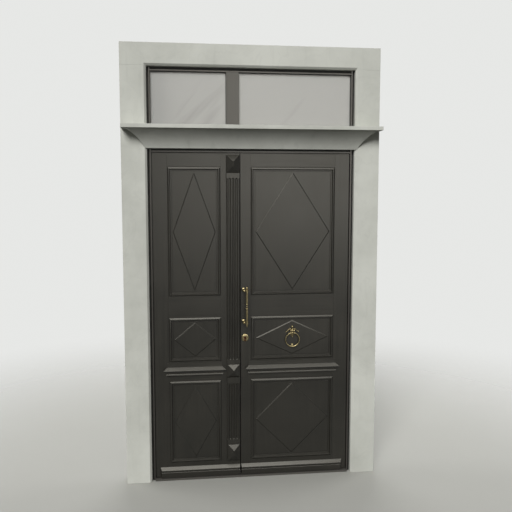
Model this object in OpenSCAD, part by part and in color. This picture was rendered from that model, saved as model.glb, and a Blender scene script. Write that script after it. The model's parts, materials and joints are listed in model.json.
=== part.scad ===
// Double front door: two unequal panelled leaves in a timber frame with a fanlight,
// set in a stone surround with a coved cornice. Millimetres, +Z up, the street on the -Y side.

/* [Stone surround] */
// Overall width across both stone jambs
stone_w = 1760; // [1700:1:1900]
// Overall height to the top of the lintel
stone_h = 3000; // [2900:1:3200]
// Depth of the stone from front to back
stone_d = 130; // [116:1:180]
// Width of a jamb's front face
jamb_face = 157; // [130:1:180]
// Height of the lintel's front face
lintel_face = 134; // [110:1:180]
// Width of the chamfer on the inner arris
arris_w = 14; // [6:1:20]
// Depth of the chamfer on the inner arris
arris_d = 12; // [6:1:20]
// Depth of the stone nib in front of the timber frame
nib_d = 50; // [44:1:52]
// Width of the rebate behind the nib
rebate_w = 56; // [46:1:70]
// Radius of the anchor holes in the back of the jambs
anchor_r = 6.5; // [4:0.5:9]
// Depth of the anchor holes
anchor_depth = 80; // [40:1:100]
// Height of the lower anchors
anchor_low_z = 400; // [200:1:800]
// Distance of the upper anchors from the stone's top
anchor_top = 400; // [300:1:800]

/* [Cornice] */
// Height of the stone over the doorway, from the cornice's underside to the lintel's top
head_h = 687; // [660:1:760]
// Height of the cove
cove_h = 123; // [90:1:140]
// Projection of the cove at its top
cove_p = 118; // [90:1:140]
// Hollow of the cove, measured from its chord
cove_sag = 13; // [4:1:24]
// Thickness of the ledge
ledge_t = 25; // [16:1:36]
// How far the ledge stands out past the cove
ledge_nose = 5; // [2:1:20]
// How far the ledge's ends run past the cove's ends
ledge_end = 30; // [5:1:38]

/* [Timber frame] */
// Setback of the frame's lip from the stone's face
lip_y = 34; // [28:1:38]
// Width of the lip seen from the street
lip_w = 10; // [7:1:14]
// Depth of the lip
lip_d = 23; // [20:1:26]
// Width of the shadow groove beside the jamb's lip
shadow_side = 13; // [8:1:18]
// Width of the shadow groove above the fanlight
shadow_top = 18; // [8:1:22]
// Width of the shadow groove over the leaves
shadow_door = 12; // [8:1:18]
// Depth of the rebate in the frame for leaves and glass
frame_rebate = 13; // [10:1:16]
// Packing gap between the frame and the stone's rebate
pack_gap = 2; // [1:0.5:5]
// Thickness of the threshold
threshold_t = 12; // [8:1:20]
// Setback of the threshold's front edge from the stone's face
threshold_y = 14; // [8:1:24]
// Setback of the threshold's rear edge from the stone's back
threshold_back = 5; // [2:1:12]
// Thickness of the rubber weather seal
seal_t = 1.5; // [1:0.25:2]
// Width of the rubber weather seal
seal_w = 7; // [4:0.5:9]

/* [Fanlight] */
// Width of the mullion
mullion_w = 88; // [60:1:110]
// Centre of the mullion, left of the doorway's centre
mullion_x = 134; // [60:1:200]
// Height of the timber sill above the ledge
sill_rise = 9; // [4:1:20]
// Thickness of the sealed glass unit
glass_t = 24; // [14:1:28]
// Clearance round the glass in its rebate
glass_gap = 2; // [1:0.5:4]
// Width of the glazing beads
bead_w = 15; // [12:1:20]

/* [Leaves] */
// Setback of the leaves' face from the stone's face
leaf_y = 40; // [36:1:46]
// Thickness of the leaves
leaf_t = 58; // [54:1:64]
// Gap between the lip and the leaf's face
face_gap = 6; // [4:0.5:8]
// Gap between the leaf's tongue and the frame's rebate
tongue_gap = 4; // [3:0.5:5]
// Gap between the lip's back and the leaf's tongue
seal_gap = 2.5; // [2:0.25:4]
// Gap under the leaves
floor_gap = 4; // [3:0.5:8]
// Centre of the meeting gap, left of the doorway's centre
meeting_x = 84.5; // [40:0.5:140]
// Width of the meeting gap
meeting_gap = 5; // [4.5:0.5:8]
// Width of the hinge stiles, tongue included
hinge_stile_w = 115; // [100:1:130]
// Width of the left leaf's meeting stile
meeting_stile_w = 132; // [120:1:150]
// Width of the right leaf's lock stile
lock_stile_w = 71; // [70:1:110]
// Height of the top rail, tongue included
top_rail_h = 107; // [90:1:130]
// Lower edge of the upper lock rail
upper_rail_z = 1155; // [1130:1:1200]
// Height of the upper lock rail
upper_rail_h = 150; // [120:1:180]
// Lower edge of the lower lock rail
lower_rail_z = 706; // [660:1:720]
// Height of the lower lock rail
lower_rail_h = 138; // [120:1:160]
// Height of the bottom rail
bottom_rail_h = 102; // [96:1:130]
// Length of the rails' tenons
tenon_l = 45; // [30:1:55]
// Thickness of the tenons
tenon_t = 16; // [12:1:18]
// Shoulder of the tenons above and below
tenon_shoulder = 22; // [18:1:28]

/* [Panels] */
// Setback of the panel's field from the leaf's face
field_setback = 8; // [4:1:12]
// Setback of the panel's back from the leaf's back
back_setback = 8; // [4:1:14]
// Thickness of the panel's tongue
panel_tongue_t = 14; // [8:1:18]
// Depth of the panel groove in stiles and rails
groove_d = 12; // [8:1:16]
// Clearance round the panels
panel_gap = 1; // [0.5:0.25:2]
// Width of the panel moulding
mould_w = 25; // [20:1:32]
// Gap between the moulding and the stiles and rails round it
mould_quirk = 1; // [0.5:0.5:6]
// How far the moulding's crest stands out of the leaf's face
mould_proud = 6; // [2:0.5:8]
// Width of the splay from the moulding's outer edge to its crest
mould_splay = 10; // [6:0.5:12]
// Width of the moulding's crest
mould_crest = 4; // [2:0.5:6]
// Width of the fall from the crest to the inner edge
mould_fall = 4; // [2:0.5:6]
// Thickness of the moulding's inner edge
mould_fillet = 2; // [1:0.5:3]
// Width of the sunk line between the moulding and the panel's field
sink_w = 6; // [3:0.5:10]
// Depth of the sunk line between the moulding and the panel's field
sink_d = 4; // [1:0.5:6]
// Width of the bevel round the raised lozenge
lozenge_bevel = 6; // [3:0.5:10]
// Height of the raised lozenge above the field
lozenge_rise = 4; // [1:0.25:6]
// Distance of the lozenge's points from the sunk line
lozenge_inset = 2; // [1:1:24]

/* [Ledge mouldings and weatherboards] */
// Height of the ledge moulding's top
shelf_z = 836; // [826:1:840]
// Height of the ledge moulding
shelf_h = 96; // [84:1:104]
// Projection of the ledge moulding's nose
shelf_p = 30; // [22:1:34]
// Projection and height of the fillet on the ledge moulding's top
shelf_fillet = 5; // [2:0.5:6]
// Fall of the hollow from the fillet to the nose
shelf_hollow_h = 30; // [24:1:36]
// Flat between the hollow and the nose's round
shelf_step = 1; // [0.5:0.5:4]
// Radius of the nose's upper edge
shelf_round = 6; // [3:1:10]
// Height of the nose
shelf_nose = 14; // [11:1:18]
// Projection of the neck under the nose
shelf_neck_p = 5; // [3:0.5:8]
// Projection of the ovolo under the neck
shelf_ovolo_p = 13; // [9:1:16]
// Height of the ovolo under the neck
shelf_ovolo_h = 13; // [9:1:16]
// Height of the slope under the ovolo
shelf_slope_h = 7; // [4:1:10]
// Projection of the ledge moulding's lower edge
shelf_edge_p = 3; // [1:0.5:6]
// How far the ledge mouldings run past the panels, returns not counted
shelf_over = 11; // [0:1:20]
// Gap between the left ledge moulding's nose and the pilaster
shelf_gap = 9; // [3:1:16]
// Height of the weatherboard's top at the leaf's face
drip_z = 90; // [80:1:96]
// Projection of the weatherboard
drip_p = 20; // [16:1:34]
// Fall of the weatherboard's top
drip_fall = 20; // [8:0.5:24]
// Height of the weatherboard's nose
drip_nose = 9; // [6:1:12]
// Height of the drip groove's lower edge
drip_step_z = 55; // [50:1:60]
// Setback of the weatherboard's lower face from its nose
drip_back = 4; // [2:0.5:8]
// Depth of the drip groove behind the lower face
drip_groove = 3; // [1:0.5:5]
// Height of the weatherboard's lower edge above the leaf's foot
drip_lift = 1; // [0.5:0.5:4]
// Gap between the weatherboard and the leaf's meeting edge
drip_in = 0.5; // [0.5:0.25:2]
// Slant of the weatherboard's meeting end, which clears the other leaf in the swing
drip_relief = 3; // [3:0.5:8]
// Distance of the weatherboard's end from the leaf's hinge edge
drip_hinge_end = 28; // [20:1:50]

/* [Pilaster] */
// Width of the pilaster
pilaster_w = 90; // [80:1:100]
// Thickness of the fluted shafts
shaft_p = 20; // [16:1:24]
// Distance of the pilaster's top from the leaf's top edge
pilaster_top_gap = 11; // [7:1:40]
// Height of the pilaster's foot
pilaster_foot_z = 121; // [100:1:130]
// Height of the long diamond blocks
hip_block_h = 122; // [100:1:140]
// Lower edge of the square diamond block
square_block_z = 727; // [715:1:735]
// Height of the square diamond block
square_block_h = 96; // [90:1:110]
// Thickness of the blocks at their edge
block_edge_p = 13; // [10:1:16]
// Rise of the blocks' points above their edge
block_rise = 26; // [12:1:27]
// Distance between flutes
flute_pitch = 23.3; // [20:0.1:25]
// Radius of the flutes
flute_r = 8.6; // [6:0.1:9.5]
// Plain end of a shaft beside a long block
flute_end_far = 34; // [20:1:44]
// Plain end of the upper shaft above the square block
flute_end_near = 29; // [20:1:60]
// Plain end of the lower shaft under the square block
flute_end_under = 41; // [20:1:60]
// Setback of the pilaster from the leaf's meeting edge
pilaster_inset = 2; // [2:0.5:6]

/* [Hinges] */
// Height of one hinge
hinge_h = 100; // [80:1:130]
// Height of the lowest hinge's centre
hinge_low_z = 230; // [180:1:300]
// Distance of the highest hinge's centre from the leaf's top
hinge_top_gap = 220; // [150:1:400]
// Number of hinges on a leaf
hinge_n = 4; // [3:1:5]
// Radius of the hinge knuckles
knuckle_r = 6.5; // [5.5:0.1:6.8]
// Distance of the hinge axis from the leaf's back
knuckle_out = 7; // [6.9:0.1:9]
// Radius of the hinge pins
hinge_pin_r = 4; // [3:0.1:4.5]
// Radial clearance of the hinge pins
pin_clear = 0.05; // [0.02:0.01:0.1]
// Thickness of a hinge flap
flap_t = 2.5; // [2:0.1:3]
// Width of a hinge flap
flap_w = 32; // [26:1:36]
// Number of knuckles on a hinge
knuckle_n = 5; // [3:2:7]
// Gap between two knuckles
knuckle_gap = 0.4; // [0.3:0.1:1]

/* [Lock] */
// Height of the keyhole
key_z = 1005; // [950:1:1040]
// Distance of the keyhole from the meeting edge
backset = 30; // [28:1:34]
// Radius of the keyhole roses
rose_r = 26.5; // [24:0.5:28]
// Thickness of the keyhole roses
rose_t = 7; // [5:0.5:10]
// Width of the dome round the keyhole roses
rose_dome = 8; // [6:0.5:10]
// Radius of the lock cylinder
cylinder_r = 8.5; // [8:0.1:9.5]
// Radius of the cylinder's plug
plug_r = 6.5; // [5:0.1:7]
// Drop of the lock cylinder's body below its axis
cylinder_drop = 24; // [20:1:25]
// Width of the lock cylinder's body
cylinder_body_w = 10; // [8:0.5:11]
// Clearance round the lock cylinder
cylinder_gap = 0.3; // [0.2:0.05:0.5]
// Setback of the lock cylinder's ends from the roses' faces
cylinder_in = 1; // [0.5:0.25:2]
// Width of the keyway
keyway_w = 2.4; // [1.6:0.1:3]
// Height of the keyway
keyway_h = 8.5; // [6:0.5:10]
// Depth of the keyway
keyway_depth = 20; // [12:1:24]
// Depth of the lock case
case_d = 46; // [44:1:48]
// Thickness of the lock case
case_t = 16; // [14:1:20]
// Height of the lock case
case_h = 190; // [180:1:210]
// Width of the face plate and the strike plate
plate_w = 24; // [22:1:28]
// Thickness of the face plate and the strike plate
plate_t = 3; // [2:0.5:4]
// Height of the face plate
plate_h = 235; // [225:1:260]
// Height of the strike plate
strike_h = 110; // [90:1:140]
// Height of the dead bolt above the keyhole
bolt_up = 50; // [44:1:60]
// Height of the dead bolt
bolt_h = 28; // [20:1:32]
// Thickness of the dead bolt
bolt_t = 10; // [8:0.5:12]
// Throw of the dead bolt
bolt_throw = 20; // [14:1:22]
// Distance of the dead bolt's tail from the back of the lock case
bolt_tail = 6; // [4:0.5:10]
// Clearance of the bolts in their guides
bolt_clear = 0.5; // [0.3:0.1:1]
// Radius of the thumb turn's knob
turn_r = 15; // [12:0.5:18]
// Reach of the thumb turn
turn_p = 24; // [18:1:32]
// Thickness of the thumb turn's base
turn_base = 4; // [3:0.5:6]
// Thickness of the thumb turn's grip
turn_t = 6; // [4:0.5:8]
// Setback of the thumb turn's grip from the edge of its base
turn_in = 1; // [0.5:0.5:3]

/* [Flush bolts] */
// Radius of the flush bolts
rod_r = 5; // [4:0.5:6]
// Length of the flush bolts
rod_l = 240; // [200:1:300]
// Distance of the flush bolts from the meeting edge
rod_in = 12; // [11:1:16]
// Radial clearance of the flush bolts
rod_clear = 0.1; // [0.05:0.01:0.2]
// Throw of the flush bolts
rod_throw = 14; // [10:1:15]
// Radius of the flush bolts' knobs
knob_r = 3; // [2:0.5:4]
// Radial clearance of the flush bolts in their sockets
socket_clear = 1; // [0.5:0.25:2]
// Retreat of the flush bolts' ends behind the leaf's edge
rod_retreat = 3; // [2:0.5:6]
// Height of the flush bolts' edge plates
rod_plate_h = 140; // [120:1:160]
// Width of the flush bolts' edge plates
rod_plate_w = 18; // [16:1:22]
// Distance of the flush bolts' axis from the leaf's back
rod_back = 19; // [16:1:22]

/* [Pull handle] */
// Distance of the handle's roses from the meeting edge
pull_in = 20; // [18:1:26]
// Height of the lower post
pull_low_z = 1122.5; // [1110:0.5:1140]
// Distance between the posts
pull_span = 223; // [180:1:300]
// Stand-off of the bar's axis from the leaf's face
pull_out = 60; // [50:1:75]
// Crank of the bar towards the hinge side
pull_crank = 18; // [0:1:24]
// Radius of the bar
pull_r = 7.5; // [6:0.1:9]
// Radius of the handle's roses
pull_rose_r = 13; // [11:0.5:16]
// Thickness of the handle's roses
pull_rose_t = 8; // [6:0.5:10]
// Radius of the posts
post_r = 6; // [4.5:0.1:7]
// Radius of the posts' arms
arm_r = 5.5; // [4.5:0.1:6.5]
// Radius of the posts' studs in the stile
post_stud_r = 4; // [3:0.5:5]
// How far the elbow's ball stands out of the post and the arm
elbow_out = 1; // [0.5:0.25:2]
// Wall of the eyes round the bar
eye_wall = 4; // [3:0.5:6]
// Height of the eyes
eye_h = 16; // [12:1:20]
// Length of the bar's pointed foot below the lower eye
pull_foot_l = 28; // [20:1:36]
// Radius of the swelling above the pointed foot
pull_foot_r = 10; // [8.5:0.5:12]
// Radius of the ball on the bar's top
pull_ball_r = 9; // [8:0.5:11]
// How far the plain bar runs past the eyes
pull_collar = 1; // [0.5:0.5:3]
// Half the height of a bead in the middle of the bar
pull_bead_h = 5; // [4:0.5:6]
// How far the middle beads stand out of the bar
pull_bead_p = 4.5; // [2:0.5:6]

/* [Knocker] */
// Height of the ring's pivot
knocker_z = 1048; // [1035:1:1060]
// Length of the neck between the pivot and the ring
ring_neck = 14; // [13:0.5:20]
// Radius of the ring's centre line
ring_r = 49; // [40:1:55]
// Radius of the ring's section
ring_t = 5; // [4:0.1:6]
// Radius of the ring's grip
grip_t = 7; // [6:0.1:8]
// Stand-off of the ring from the panel
ring_out = 17; // [15:0.5:22]
// Radius of the pivot
trunnion_r = 3; // [2:0.1:3.5]
// Gap between the ring and its strike stud
stud_gap = 0.4; // [0.3:0.1:1]
// Angle of the ring that the grip takes up
grip_angle = 52; // [30:1:80]
// Distance of the ears from the middle
ear_in = 10; // [8.5:0.5:12]
// Thickness of an ear
ear_t = 5; // [4:0.5:7]
// Wall of the ears round the trunnions
ear_wall = 5; // [4:0.5:6]
// Gap between the ring's ball and the ears
ball_gap = 2; // [1.5:0.25:3]
// Radius of the strike stud
stud_r = 8; // [6:0.5:10]
// Width of the crown's arms from the middle
crown_w = 46; // [40:1:52]
// Radius of the crown's middle lobe
crown_r = 20; // [16:0.5:24]
// Thickness of the crown's back plate
crown_t = 4; // [3:0.5:6]
// Radius of the section of the crown's scrolled arms
scroll_t = 4; // [3:0.5:5]
// Radius of the crown's largest bead
crown_bead_r = 8; // [6:0.5:9]

/* [Hidden] */
$fn = 48;
// Overshoot of cutting tools past the face they cut
cut = 1;

// Stone: the opening's edge, the reveal behind its chamfer and the rebate behind the nib
open_x = stone_w / 2 - jamb_face;
open_z = stone_h - lintel_face;
reveal_x = open_x - arris_w;
reveal_z = open_z - arris_w;
rebate_x = reveal_x + rebate_w;
rebate_z = reveal_z + rebate_w;
anchor_x = (rebate_x + stone_w / 2) / 2;
anchor_high_z = stone_h - anchor_top;
head_z = stone_h - head_h;
cove_top_z = head_z + cove_h;
ledge_top_z = cove_top_z + ledge_t;

// Frame: lip and rebate face, at the sides, over the leaves and over the fanlight
back_y = leaf_y + leaf_t;
lip_back_y = lip_y + lip_d;
lip_x = reveal_x - shadow_side - lip_w;
rebate_face_x = lip_x + frame_rebate;
frame_out_x = rebate_x - pack_gap;
frame_top_z = rebate_z - pack_gap;
door_lip_z = head_z - shadow_door - lip_w;
door_rebate_z = door_lip_z + frame_rebate;
sill_lip_z = ledge_top_z + sill_rise;
sill_rebate_z = sill_lip_z - frame_rebate;
top_lip_z = reveal_z - shadow_top - lip_w;
top_rebate_z = top_lip_z + frame_rebate;
threshold_back_y = stone_d - threshold_back;

// Leaves: face edges, tongue edges and the meeting edges
face_x = lip_x - face_gap;
tongue_x = rebate_face_x - tongue_gap;
tongue_y = lip_back_y + seal_gap;
face_z = door_lip_z - face_gap;
tongue_z = door_rebate_z - tongue_gap;
foot_z = threshold_t + floor_gap;
left_edge = -meeting_x - meeting_gap / 2;
right_edge = -meeting_x + meeting_gap / 2;
// Openings between the stiles, [left, right], and between the rails, [low, high]
left_span = [-tongue_x + hinge_stile_w, left_edge - meeting_stile_w];
right_span = [right_edge + lock_stile_w, tongue_x - hinge_stile_w];
upper_span = [upper_rail_z + upper_rail_h, tongue_z - top_rail_h];
middle_span = [lower_rail_z + lower_rail_h, upper_rail_z];
lower_span = [foot_z + bottom_rail_h, lower_rail_z];
panel_spans = [upper_span, middle_span, lower_span];
field_y = leaf_y + field_setback;
panel_back_y = back_y - back_setback;
core_y = (field_y + panel_back_y) / 2;

// Pilaster, on the left leaf's meeting stile
pilaster_right = left_edge - pilaster_inset;
pilaster_x = pilaster_right - pilaster_w / 2;
pilaster_top_z = face_z - pilaster_top_gap;

// Hinges: the axis lies in the middle of the gap, behind the leaves
axis_x = (tongue_x + rebate_face_x) / 2;
axis_y = back_y + knuckle_out;
knuckle_l = hinge_h / knuckle_n;
hinge_high_z = tongue_z - hinge_top_gap;
hinge_step = (hinge_high_z - hinge_low_z) / (hinge_n - 1);
hinge_zs = [for (i = [0 : hinge_n - 1]) hinge_low_z + i * hinge_step];

// Lock and flush bolts
key_x = right_edge + backset;
lock_y = leaf_y + leaf_t / 2;
bolt_z = key_z + bolt_up;
rod_x = left_edge - rod_in;
rod_y = back_y - rod_back;
rod_top_z = tongue_z - rod_retreat;
rod_foot_z = foot_z + rod_retreat;

// Pull handle and knocker
pull_x = right_edge + pull_in;
pull_y = leaf_y - pull_out;
bar_x = pull_x + pull_crank;
knocker_x = (right_span[0] + right_span[1]) / 2;
knocker_y = field_y - lozenge_rise;
ring_y = knocker_y - ring_out;
// Height of the strike stud below the pivot
stud_drop = ring_neck + 2 * ring_r;
stone_c = "#babbb3";
paint_c = "#4a4844";
frame_c = "#64625e";
brass_c = "#c2a866";
steel_c = "#9a9a98";
rubber_c = "#1c1c1c";
glass_c = "#a8a8a6";

// Moves the stone's front face from y = 0 so that the origin lies in the middle of its depth
module place() translate([0, -stone_d / 2, 0]) children();

// Box between two corners
module box(a, b) translate(a) cube(b - a);

// Extrudes a [y, z] outline along X from x0 to x1
module along_x(x0, x1) translate([x0, 0, 0]) rotate([90, 0, 90]) linear_extrude(x1 - x0) children();

// Extrudes an [x, z] outline along Y from y0 to y1
module along_y(y0, y1) translate([0, y1, 0]) rotate([90, 0, 0]) linear_extrude(y1 - y0) children();

// Extrudes an [x, y] outline along Z from z0 to z1
module along_z(z0, z1) translate([0, 0, z0]) linear_extrude(z1 - z0) children();

// Cylinder along Y from y0 to y1 with its axis at [x, z]
module rod_y(x, z, r, y0, y1) translate([x, y1, z]) rotate([90, 0, 0]) cylinder(r = r, h = y1 - y0);

// Cylinder along X from x0 to x1 with its axis at [y, z]
module rod_x(y, z, r, x0, x1) translate([x0, y, z]) rotate([0, 90, 0]) cylinder(r = r, h = x1 - x0);

// Points of a shallow arc from a to b that bows by sag to the right of its chord
function arc(a, b, sag, n) =
  let (d = b - a, len = norm(d), r = (len * len / 4 + sag * sag) / (2 * sag),
       half = asin(len / (2 * r)), mid = (a + b) / 2,
       side = [d[1], -d[0]] / len, c = mid - side * (r - sag))
  [for (i = [0 : n]) let (t = -half + 2 * half * i / n)
    c + side * r * cos(t) + d / len * r * sin(t)];

// Stone

module stone_jamb() {
  difference() {
    along_z(0, reveal_z) polygon([
      [open_x, 0], [stone_w / 2, 0], [stone_w / 2, stone_d], [rebate_x, stone_d],
      [rebate_x, nib_d], [reveal_x, nib_d], [reveal_x, arris_d]
    ]);
    for (z = [anchor_low_z, anchor_high_z])
      rod_y(anchor_x, z, anchor_r, stone_d - anchor_depth, stone_d + cut);
  }
}

module stone_jamb_left() color(stone_c) place() mirror([1, 0, 0]) stone_jamb();

module stone_jamb_right() color(stone_c) place() stone_jamb();

// The chamfer's mitres are the meeting of a cut seen from above and one seen from the side
module stone_lintel() color(stone_c) place() difference() {
  box([-stone_w / 2, 0, reveal_z], [stone_w / 2, stone_d, stone_h]);
  box([-rebate_x, nib_d, reveal_z - cut], [rebate_x, stone_d + cut, rebate_z]);
  intersection() {
    along_z(reveal_z - cut, stone_h) polygon([
      [-open_x, 0], [open_x, 0], [reveal_x, arris_d], [-reveal_x, arris_d]
    ]);
    along_x(-stone_w / 2, stone_w / 2) polygon([
      [0, reveal_z - cut], [arris_d, reveal_z - cut], [arris_d, reveal_z], [0, open_z]
    ]);
  }
}

// Hollow line of the cove from the ledge down to the doorway's edge, as [projection, height]
cove_line = arc([cove_p, cove_top_z], [0, head_z], cove_sag, 14);

module stone_cornice() color(stone_c) place() {
  along_z(head_z, ledge_top_z) polygon([
    [-open_x, 0], [open_x, 0], [reveal_x, arris_d], [reveal_x, nib_d],
    [-reveal_x, nib_d], [-reveal_x, arris_d]
  ]);
  intersection() {
    along_x(-stone_w / 2, stone_w / 2)
      polygon(concat([for (p = cove_line) [-p[0], p[1]]], [[0, cove_top_z]]));
    along_y(-cove_p, 0) polygon(concat(
      [for (p = cove_line) [open_x + p[0], p[1]]],
      [for (i = [len(cove_line) - 1 : -1 : 0]) [-open_x - cove_line[i][0], cove_line[i][1]]]
    ));
  }
  box([-open_x - cove_p - ledge_end, -cove_p - ledge_nose, cove_top_z],
      [open_x + cove_p + ledge_end, 0, ledge_top_z]);
}

module threshold() color(paint_c) place() difference() {
  along_z(0, threshold_t) polygon([
    [-lip_x, threshold_y], [lip_x, threshold_y], [lip_x, lip_back_y], [rebate_face_x, lip_back_y],
    [rebate_face_x, threshold_back_y], [-rebate_face_x, threshold_back_y],
    [-rebate_face_x, lip_back_y], [-lip_x, lip_back_y]
  ]);
  translate([rod_x, rod_y, -cut]) cylinder(r = rod_r + socket_clear, h = threshold_t + 2 * cut);
}

// Timber frame

// Jamb behind the stone's nib, with its lip in two lengths, below and above the cornice
module frame_jamb() {
  difference() {
    along_z(0, frame_top_z) polygon([
      [lip_x, nib_d], [frame_out_x, nib_d], [frame_out_x, back_y],
      [rebate_face_x, back_y], [rebate_face_x, lip_back_y], [lip_x, lip_back_y]
    ]);
    hinge_recesses(1);
  }
  for (rows = [[0, head_z], [ledge_top_z, reveal_z]])
    box([lip_x, lip_y, rows[0]], [lip_x + lip_w, nib_d, rows[1]]);
}

module frame_jamb_left() color(frame_c) place() mirror([1, 0, 0]) frame_jamb();

module frame_jamb_right() color(frame_c) place() frame_jamb();

module frame_head() color(frame_c) place() {
  along_x(-lip_x, lip_x) polygon([
    [lip_y, top_lip_z], [lip_back_y, top_lip_z], [lip_back_y, frame_top_z],
    [nib_d, frame_top_z], [nib_d, top_lip_z + lip_w], [lip_y, top_lip_z + lip_w]
  ]);
  box([-rebate_face_x, lip_back_y, top_rebate_z], [rebate_face_x, back_y, frame_top_z]);
}

module frame_transom() color(frame_c) place() difference() {
  union() {
    along_x(-lip_x, lip_x) polygon([
      [lip_y, door_lip_z], [lip_back_y, door_lip_z], [lip_back_y, sill_lip_z],
      [nib_d, sill_lip_z], [nib_d, door_lip_z + lip_w], [lip_y, door_lip_z + lip_w]
    ]);
    box([-rebate_face_x, lip_back_y, door_rebate_z], [rebate_face_x, back_y, sill_rebate_z]);
  }
  translate([rod_x, rod_y, door_rebate_z - cut])
    cylinder(r = rod_r + socket_clear, h = cut + rod_throw + socket_clear);
}

module fanlight_mullion() color(frame_c) place() translate([-mullion_x, 0, 0]) {
  box([-mullion_w / 2, lip_y, sill_lip_z], [mullion_w / 2, lip_back_y, top_lip_z]);
  box([-mullion_w / 2 + frame_rebate, lip_back_y, sill_rebate_z],
      [mullion_w / 2 - frame_rebate, back_y, top_rebate_z]);
}

// Glass openings behind the lips, [left, right]
left_glass = [-rebate_face_x, -mullion_x - mullion_w / 2 + frame_rebate];
right_glass = [-mullion_x + mullion_w / 2 - frame_rebate, rebate_face_x];

module glass_unit(span) color(glass_c) place()
  box([span[0] + glass_gap, lip_back_y, sill_rebate_z + glass_gap],
      [span[1] - glass_gap, lip_back_y + glass_t, top_rebate_z - glass_gap]);

module fanlight_glass_left() glass_unit(left_glass);

module fanlight_glass_right() glass_unit(right_glass);

// Square beads round the back of one pane
module bead_frame(span) {
  y0 = lip_back_y + glass_t;
  difference() {
    box([span[0], y0, sill_rebate_z], [span[1], back_y, top_rebate_z]);
    box([span[0] + bead_w, y0 - cut, sill_rebate_z + bead_w],
        [span[1] - bead_w, back_y + cut, top_rebate_z - bead_w]);
  }
}

module glazing_beads() color(frame_c) place() {
  bead_frame(left_glass);
  bead_frame(right_glass);
}

module frame_seals() color(rubber_c) place() {
  for (side = [-1, 1]) {
    x0 = side * (lip_x + frame_rebate / 2);
    box([x0 - seal_w / 2, lip_back_y, threshold_t],
        [x0 + seal_w / 2, lip_back_y + seal_t, door_lip_z - cut]);
  }
  z0 = door_lip_z + frame_rebate / 2 - seal_w / 2;
  box([-lip_x, lip_back_y, z0], [lip_x, lip_back_y + seal_t, z0 + seal_w]);
}

// Hinges

// Cuts for the flaps in the frame's rebate (side 1) or in the leaf's edge (side -1), on the right
module hinge_recesses(side) {
  for (z = hinge_zs)
    translate([axis_x, axis_y, z])
      scale_x(side) box([tongue_gap / 2 - cut, -knuckle_out - flap_w, -hinge_h / 2],
        [tongue_gap / 2 + flap_t, -knuckle_out + cut, hinge_h / 2]);
}

// Mirrors its children in X where side is -1
module scale_x(side) if (side < 0) mirror([1, 0, 0]) children(); else children();

// One flap on the right: side 1 is on the frame with the odd knuckles, side -1 on the leaf
module hinge_flap(z, side) {
  first = side > 0 ? 0 : 1;
  translate([axis_x, axis_y, z - hinge_h / 2]) difference() {
    scale_x(side) {
      box([tongue_gap / 2, -knuckle_out - flap_w, 0],
          [tongue_gap / 2 + flap_t, -knuckle_out, hinge_h]);
      for (i = [first : 2 : knuckle_n - 1]) {
        z0 = i * knuckle_l + (i == 0 ? 0 : knuckle_gap / 2);
        z1 = (i + 1) * knuckle_l - (i == knuckle_n - 1 ? 0 : knuckle_gap / 2);
        translate([0, 0, z0]) cylinder(r = knuckle_r, h = z1 - z0);
        box([tongue_gap / 2, -knuckle_out, z0], [tongue_gap / 2 + flap_t, 0, z1]);
      }
    }
    translate([0, 0, -cut]) cylinder(r = hinge_pin_r + pin_clear, h = hinge_h + 2 * cut);
  }
}

module hinge_frame_flaps() color(brass_c) place()
  for (z = hinge_zs) {
    hinge_flap(z, 1);
    mirror([1, 0, 0]) hinge_flap(z, 1);
  }

// Loose pin with a flat head above and a button below
module hinge_pins() color(brass_c) place()
  for (z = hinge_zs, side = [-1, 1]) translate([side * axis_x, axis_y, z - hinge_h / 2]) {
    cylinder(r = hinge_pin_r, h = hinge_h);
    translate([0, 0, hinge_h]) cylinder(r = knuckle_r, h = knuckle_r / 2);
    translate([0, 0, -knuckle_r / 2]) cylinder(r = knuckle_r, h = knuckle_r / 2);
  }

module left_hinge_flaps() color(brass_c) place() mirror([1, 0, 0])
  for (z = hinge_zs) hinge_flap(z, -1);

module right_hinge_flaps() color(brass_c) place() for (z = hinge_zs) hinge_flap(z, -1);

// Leaf joinery

// A stile with its face between x0 and x1 and its rear part between tongue_x0 and tongue_x1
module stile_body(x0, x1, tongue_x0, tongue_x1) {
  box([x0, leaf_y, foot_z], [x1, tongue_y, face_z]);
  box([tongue_x0, tongue_y, foot_z], [tongue_x1, back_y, tongue_z]);
}

// Grooves that take the tongues of the three panels of a leaf
module panel_grooves(span) {
  for (rows = panel_spans)
    box([span[0] - groove_d, core_y - panel_tongue_t / 2, rows[0] - groove_d],
        [span[1] + groove_d, core_y + panel_tongue_t / 2, rows[1] + groove_d]);
}

// Tenons of a rail between z0 and z1, both ends
module tenons(span, z0, z1) {
  box([span[0] - tenon_l, core_y - tenon_t / 2, z0 + tenon_shoulder],
      [span[1] + tenon_l, core_y + tenon_t / 2, z1 - tenon_shoulder]);
}

rail_rows = [
  [tongue_z - top_rail_h, face_z], [upper_rail_z, upper_rail_z + upper_rail_h],
  [lower_rail_z, lower_rail_z + lower_rail_h], [foot_z, foot_z + bottom_rail_h]
];

module all_tenons(span) for (row = rail_rows) tenons(span, row[0], row[1]);

module rail(span, row) difference() {
  union() {
    box([span[0], leaf_y, row[0]], [span[1], back_y, row[1]]);
    tenons(span, row[0], row[1]);
  }
  panel_grooves(span);
}

module top_rail(span) {
  rail(span, rail_rows[0]);
  box([span[0], tongue_y, face_z], [span[1], back_y, tongue_z]);
}

module left_hinge_stile() color(paint_c) place() difference() {
  stile_body(-face_x, left_span[0], -tongue_x, left_span[0]);
  panel_grooves(left_span);
  all_tenons(left_span);
  mirror([1, 0, 0]) hinge_recesses(-1);
}

module right_hinge_stile() color(paint_c) place() difference() {
  stile_body(right_span[1], face_x, right_span[1], tongue_x);
  panel_grooves(right_span);
  all_tenons(right_span);
  hinge_recesses(-1);
}

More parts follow.
